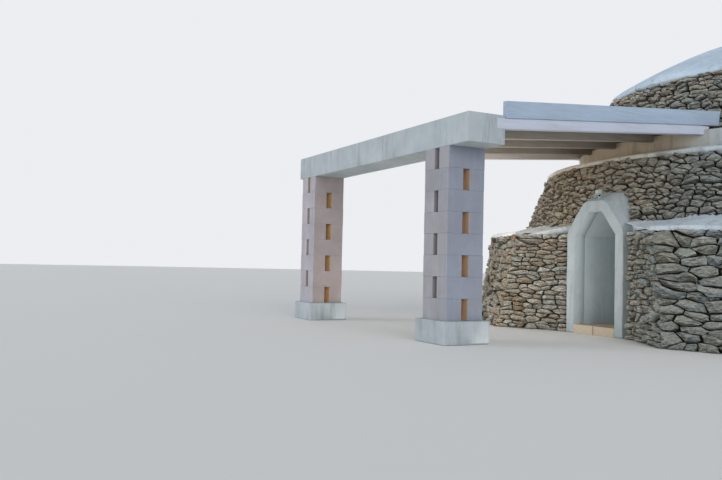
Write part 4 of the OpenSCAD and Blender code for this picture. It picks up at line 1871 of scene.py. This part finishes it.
@dataclass
class BlockPier:
    """Pier of paired sawn blocks on a plinth: each course has a slot and is turned from the last."""

    finishes: Finishes
    label: str
    block: Material
    courses: int = 8
    unevenness: float = 0.0025
    # Share of the slot colour on the slots that run through along X, which show greyer: less painted sunlight
    # there.
    cross_slot_bare_and_lit: float = 0.22

    def build(self) -> None:
        """Builds the blocks and the plinth."""
        node = self.label + "_shaft"
        low, high = (np.array(corner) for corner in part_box(node))
        slot_half = self._slot_half(node, low)
        rise = (high[2] - low[2]) / self.courses
        middle = (low + high) / 2
        dice = np.random.default_rng(len(self.label))
        lows, highs, warm_tone = [], [], []
        for course in range(self.courses):
            across = course % 2
            for side in (-1, 1):
                start, end = low.copy(), high.copy()
                start[2], end[2] = low[2] + course * rise, low[2] + (course + 1) * rise
                if side < 0:
                    end[across] = middle[across] - slot_half
                else:
                    start[across] = middle[across] + slot_half
                shift = dice.uniform(-self.unevenness, self.unevenness, 2)
                start[:2] += shift
                end[:2] += shift
                lows.append(start)
                highs.append(end)
                flags = np.zeros(6)
                # The slots' sides get the bare tufa and painted sunlight colour.
                flags[across * 2 + (1 if side < 0 else 0)] = self.cross_slot_bare_and_lit if across else 1.0
                warm_tone.append(flags)
        points, faces = boxes(np.array(lows), np.array(highs))
        piece = new_mesh(self.label + "_blocks", points, faces)
        add_values(piece, "bare_and_lit", np.concatenate(warm_tone), "FACE")
        # Marks the -Y faces for their painted shade.
        add_values(piece, "painted_shade_face", np.tile([0.0, 0.0, 1.0, 0.0, 0.0, 0.0], len(lows)), "FACE")
        add_values(piece, "shade", np.repeat(dice.uniform(0.0, 1.0, len(lows)), 6), "FACE")
        soften(piece, 0.004, 2)
        dress(piece, Slot.BLOCK, [self.block], node)
        plinth = joined_copy(self.label + "_base", [self.label + "_plinth"])
        soften(plinth, 0.014, 3)
        dress(plinth, Slot.BLOCK, [self.finishes.lime], self.label + "_plinth")

    @staticmethod
    def _slot_half(node: str, low: Array) -> float:
        """Measures half the width of the slots on the shaft's lowest level."""
        across = points_at(node, low[2])[:, 0]
        return float(np.abs(across - (across.min() + across.max()) / 2).min())


@dataclass
class Pergola:
    """Header, joists, front board and boarded deck of the lean-to roof."""

    finishes: Finishes
    board_width: float = 0.140
    board_gap: float = 0.004
    shortest_board: float = 0.03
    edge: float = 0.004

    def build(self) -> None:
        """Builds the beams and then the deck's boards."""
        header = joined_copy("header", ["header_beam"])
        soften(header, 0.010, 2)
        dress(header, Slot.PLASTER, [self.finishes.lime], "header_beam")
        for node in sorted(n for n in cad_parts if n.startswith("joist_") and n[-1].isdigit()):
            joist = joined_copy(node + "_timber", [node])
            soften(joist, self.edge)
            # Painted light on the outer joists, painted shade on those between.
            outer = {"joist_1": self.finishes.edge, "joist_5": self.finishes.sunlit_far_edge}
            dress(joist, Slot.TIMBER, [outer.get(node, self.finishes.joist)], node)
        front = joined_copy("front_board_timber", ["front_board"])
        soften(front, self.edge)
        dress(front, Slot.TIMBER, [self.finishes.beam], "front_board")
        self.deck()

    def deck(self) -> None:
        """Lays the deck's boards across the joists, cut where they meet the upper tier.

        A board that the tier's circle crosses stops at the circle: half its chord is the root of the radius
        squared less the board's distance from the axis squared.
        """
        points = node_points("roof_deck")
        low, high = points.min(axis=0), points.max(axis=0)
        outer = points[points[:, 0] < low[0] + ON_LEVEL]
        foot, top = outer[:, 2].min(), outer[:, 2].max()
        inner = points[points[:, 0] > high[0] - ON_LEVEL]
        slope = (inner[:, 2].max() - top) / (high[0] - low[0])
        count = int((high[0] - low[0]) / self.board_width)
        edges = np.linspace(low[0], high[0], count + 1)
        starts, ends = edges[:-1], edges[1:] - self.board_gap
        curve = points[(points[:, 0] > low[0] + 0.01) & (points[:, 2] > foot)]
        drum = float(np.hypot(*curve[:, :2].T).min())
        reach = np.sqrt(np.maximum(drum ** 2 - ends ** 2, 0.0)) + 0.004
        meets = -ends < drum
        near_end = np.where(meets, -reach, high[1])
        far_start = np.where(meets, reach, high[1])
        spans = [(low[1], np.minimum(near_end, high[1])), (np.maximum(far_start, low[1]), high[1])]
        lows, highs = [], []
        for begin, finish in spans:
            begin, finish = np.broadcast_to(begin, count), np.broadcast_to(finish, count)
            real = finish - begin > self.shortest_board
            lows.append(np.stack([starts, begin, np.full(count, foot)], axis=1)[real])
            highs.append(np.stack([ends, finish, np.full(count, top)], axis=1)[real])
        lows, highs = np.concatenate(lows), np.concatenate(highs)
        corners, faces = boxes(lows, highs)
        corners[:, 2] += (corners[:, 0] - low[0]) * slope
        dice = np.random.default_rng(5)
        corners[:, 1] += np.repeat(dice.uniform(-0.003, 0.0, len(lows)), 8) * (corners[:, 1] > high[1] - 0.01)
        piece = new_mesh("deck_boards", corners, faces)
        soften(piece, 0.002, 1)
        dress(piece, Slot.TIMBER, [self.finishes.board], "roof_deck")


@dataclass(frozen=True)
class Light:
    """Broad sun, or a warm flat panel where a size is given, which the camera doesn't see.

    A sun's strength is in Blender's own unit and its spread in degrees. A panel's strength is its power for
    each square metre, divided by pi.
    """

    name: str
    strength: float
    towards: Triple
    spread: float = 0.0
    size: Pair | None = None
    place: Triple = (0.0, 0.0, 0.0)
    warm: Triple = (1.0, 0.91, 0.80)

    def build(self) -> None:
        """Makes the light and puts it in the scene."""
        data = bpy.data.lights.new(self.name, "AREA" if self.size else "SUN")
        lamp = bpy.data.objects.new(self.name, data)
        lamp.location = self.place
        lamp.rotation_euler = Vector(self.towards).to_track_quat("-Z", "Y").to_euler()
        if self.size:
            data.shape, data.color = "RECTANGLE", self.warm
            data.size, data.size_y = self.size
            data.energy = self.strength * math.pi * self.size[0] * self.size[1]
            lamp.visible_camera = False
        else:
            data.energy, data.angle = self.strength, math.radians(self.spread)
        bpy.context.scene.collection.objects.link(lamp)


@dataclass
class Studio:
    """Camera at the photograph's angle, soft lights, a pale floor and a pale surround."""

    image_width: int = 722
    focal_pixels: float = 750.0
    sensor: float = 36.0
    eye: Triple = (-11.704, -7.600, 0.895)
    yaw: float = math.radians(-27.381)
    pitch: float = math.radians(1.832)
    roll: float = math.radians(1.252)
    lights: tuple[Light, ...] = (
        Light("key", 1.6, (0.90, -0.40, -0.10), spread=34.0),
        Light("fill", 1.6, (0.15, 0.92, -0.18), spread=50.0),
        Light("floor_panel", 0.9, (0.0, 0.0, 1.0), size=(2.0, 4.6), place=(-5.6, 0.9, 0.02)),
        Light("front_panel", 2.9, (1.0, 0.0, 0.5), size=(2.9, 0.6), place=(-6.3, 1.5, 1.95)))
    sky: Colour = (0.89, 0.94, 1.0, 1.0)
    sky_strength: float = 0.45
    floor_radius: float = 90.0
    floor_tone: Colour = tone(240, 240, 238)
    pale: Colour = tone(236, 238, 242)

    def build(self) -> None:
        """Builds the camera, the lights, the world and the floor.

        The two suns come from the piers' side and the near side, and the two panels light what lies under the
        roof as the bright ground does.
        """
        self.camera()
        for light in self.lights:
            light.build()
        self.world()
        self.floor()
        bpy.context.scene.view_settings.view_transform = "Standard"

    def camera(self) -> None:
        """Places the camera: rolled about its own axis, then raised to its pitch, then turned to its yaw."""
        data = bpy.data.cameras.new("camera")
        data.sensor_fit = "HORIZONTAL"
        data.sensor_width = self.sensor
        data.lens = self.focal_pixels / self.image_width * self.sensor
        data.clip_end = 300.0
        camera = bpy.data.objects.new("camera", data)
        turn = (Matrix.Rotation(self.yaw, 3, "Z") @ Matrix.Rotation(math.pi / 2 + self.pitch, 3, "X")
                @ Matrix.Rotation(self.roll, 3, "Z"))
        camera.matrix_world = Matrix.Translation(self.eye) @ turn.to_4x4()
        bpy.context.scene.collection.objects.link(camera)
        bpy.context.scene.camera = camera

    def world(self) -> None:
        """Lights the scene evenly from all round, and shows a pale surround to the camera."""
        world = bpy.data.worlds.new("surround")
        world.use_nodes = True
        bpy.context.scene.world = world
        on = Sketch(world.node_tree)
        ground = world.node_tree.nodes["Background"]
        ground.inputs["Color"].default_value = self.sky
        ground.inputs["Strength"].default_value = self.sky_strength
        shown = on.add("Background", Color=self.pale, Strength=1.0)
        path = on.add("LightPath")
        seen = on.maths("MAXIMUM", path.outputs["Is Camera Ray"], path.outputs["Is Glossy Ray"])
        mix = on.add("MixShader", n0=seen, n1=ground.outputs[0], n2=shown.outputs[0])
        on.feed(world.node_tree.nodes["World Output"].inputs["Surface"], mix.outputs[0])

    def floor(self) -> None:
        """Lays a wide pale disc under the object."""
        turns = TURN * np.arange(96) / 96
        rim = np.stack([self.floor_radius * np.cos(turns), self.floor_radius * np.sin(turns),
                        np.full(96, -0.002)], axis=1)
        floor = new_mesh("studio_floor", rim, [np.arange(96)[None]], smooth=False)
        material = bpy.data.materials.new("studio_floor")
        material.use_nodes = True
        shader = material.node_tree.nodes["Principled BSDF"]
        shader.inputs["Base Color"].default_value = self.floor_tone
        shader.inputs["Roughness"].default_value = 0.95
        floor.data.materials.append(material)


def main() -> None:
    """Builds the house, its entrance, the piers and pergola, and the studio."""
    finishes = Finishes.build()
    House(finishes).build()
    Entrance(finishes).build()
    BlockPier(finishes, "near_pier", finishes.block).build()
    BlockPier(finishes, "far_pier", finishes.far_block).build()
    Pergola(finishes).build()
    Studio().build()


if __name__ == "__main__":
    main()
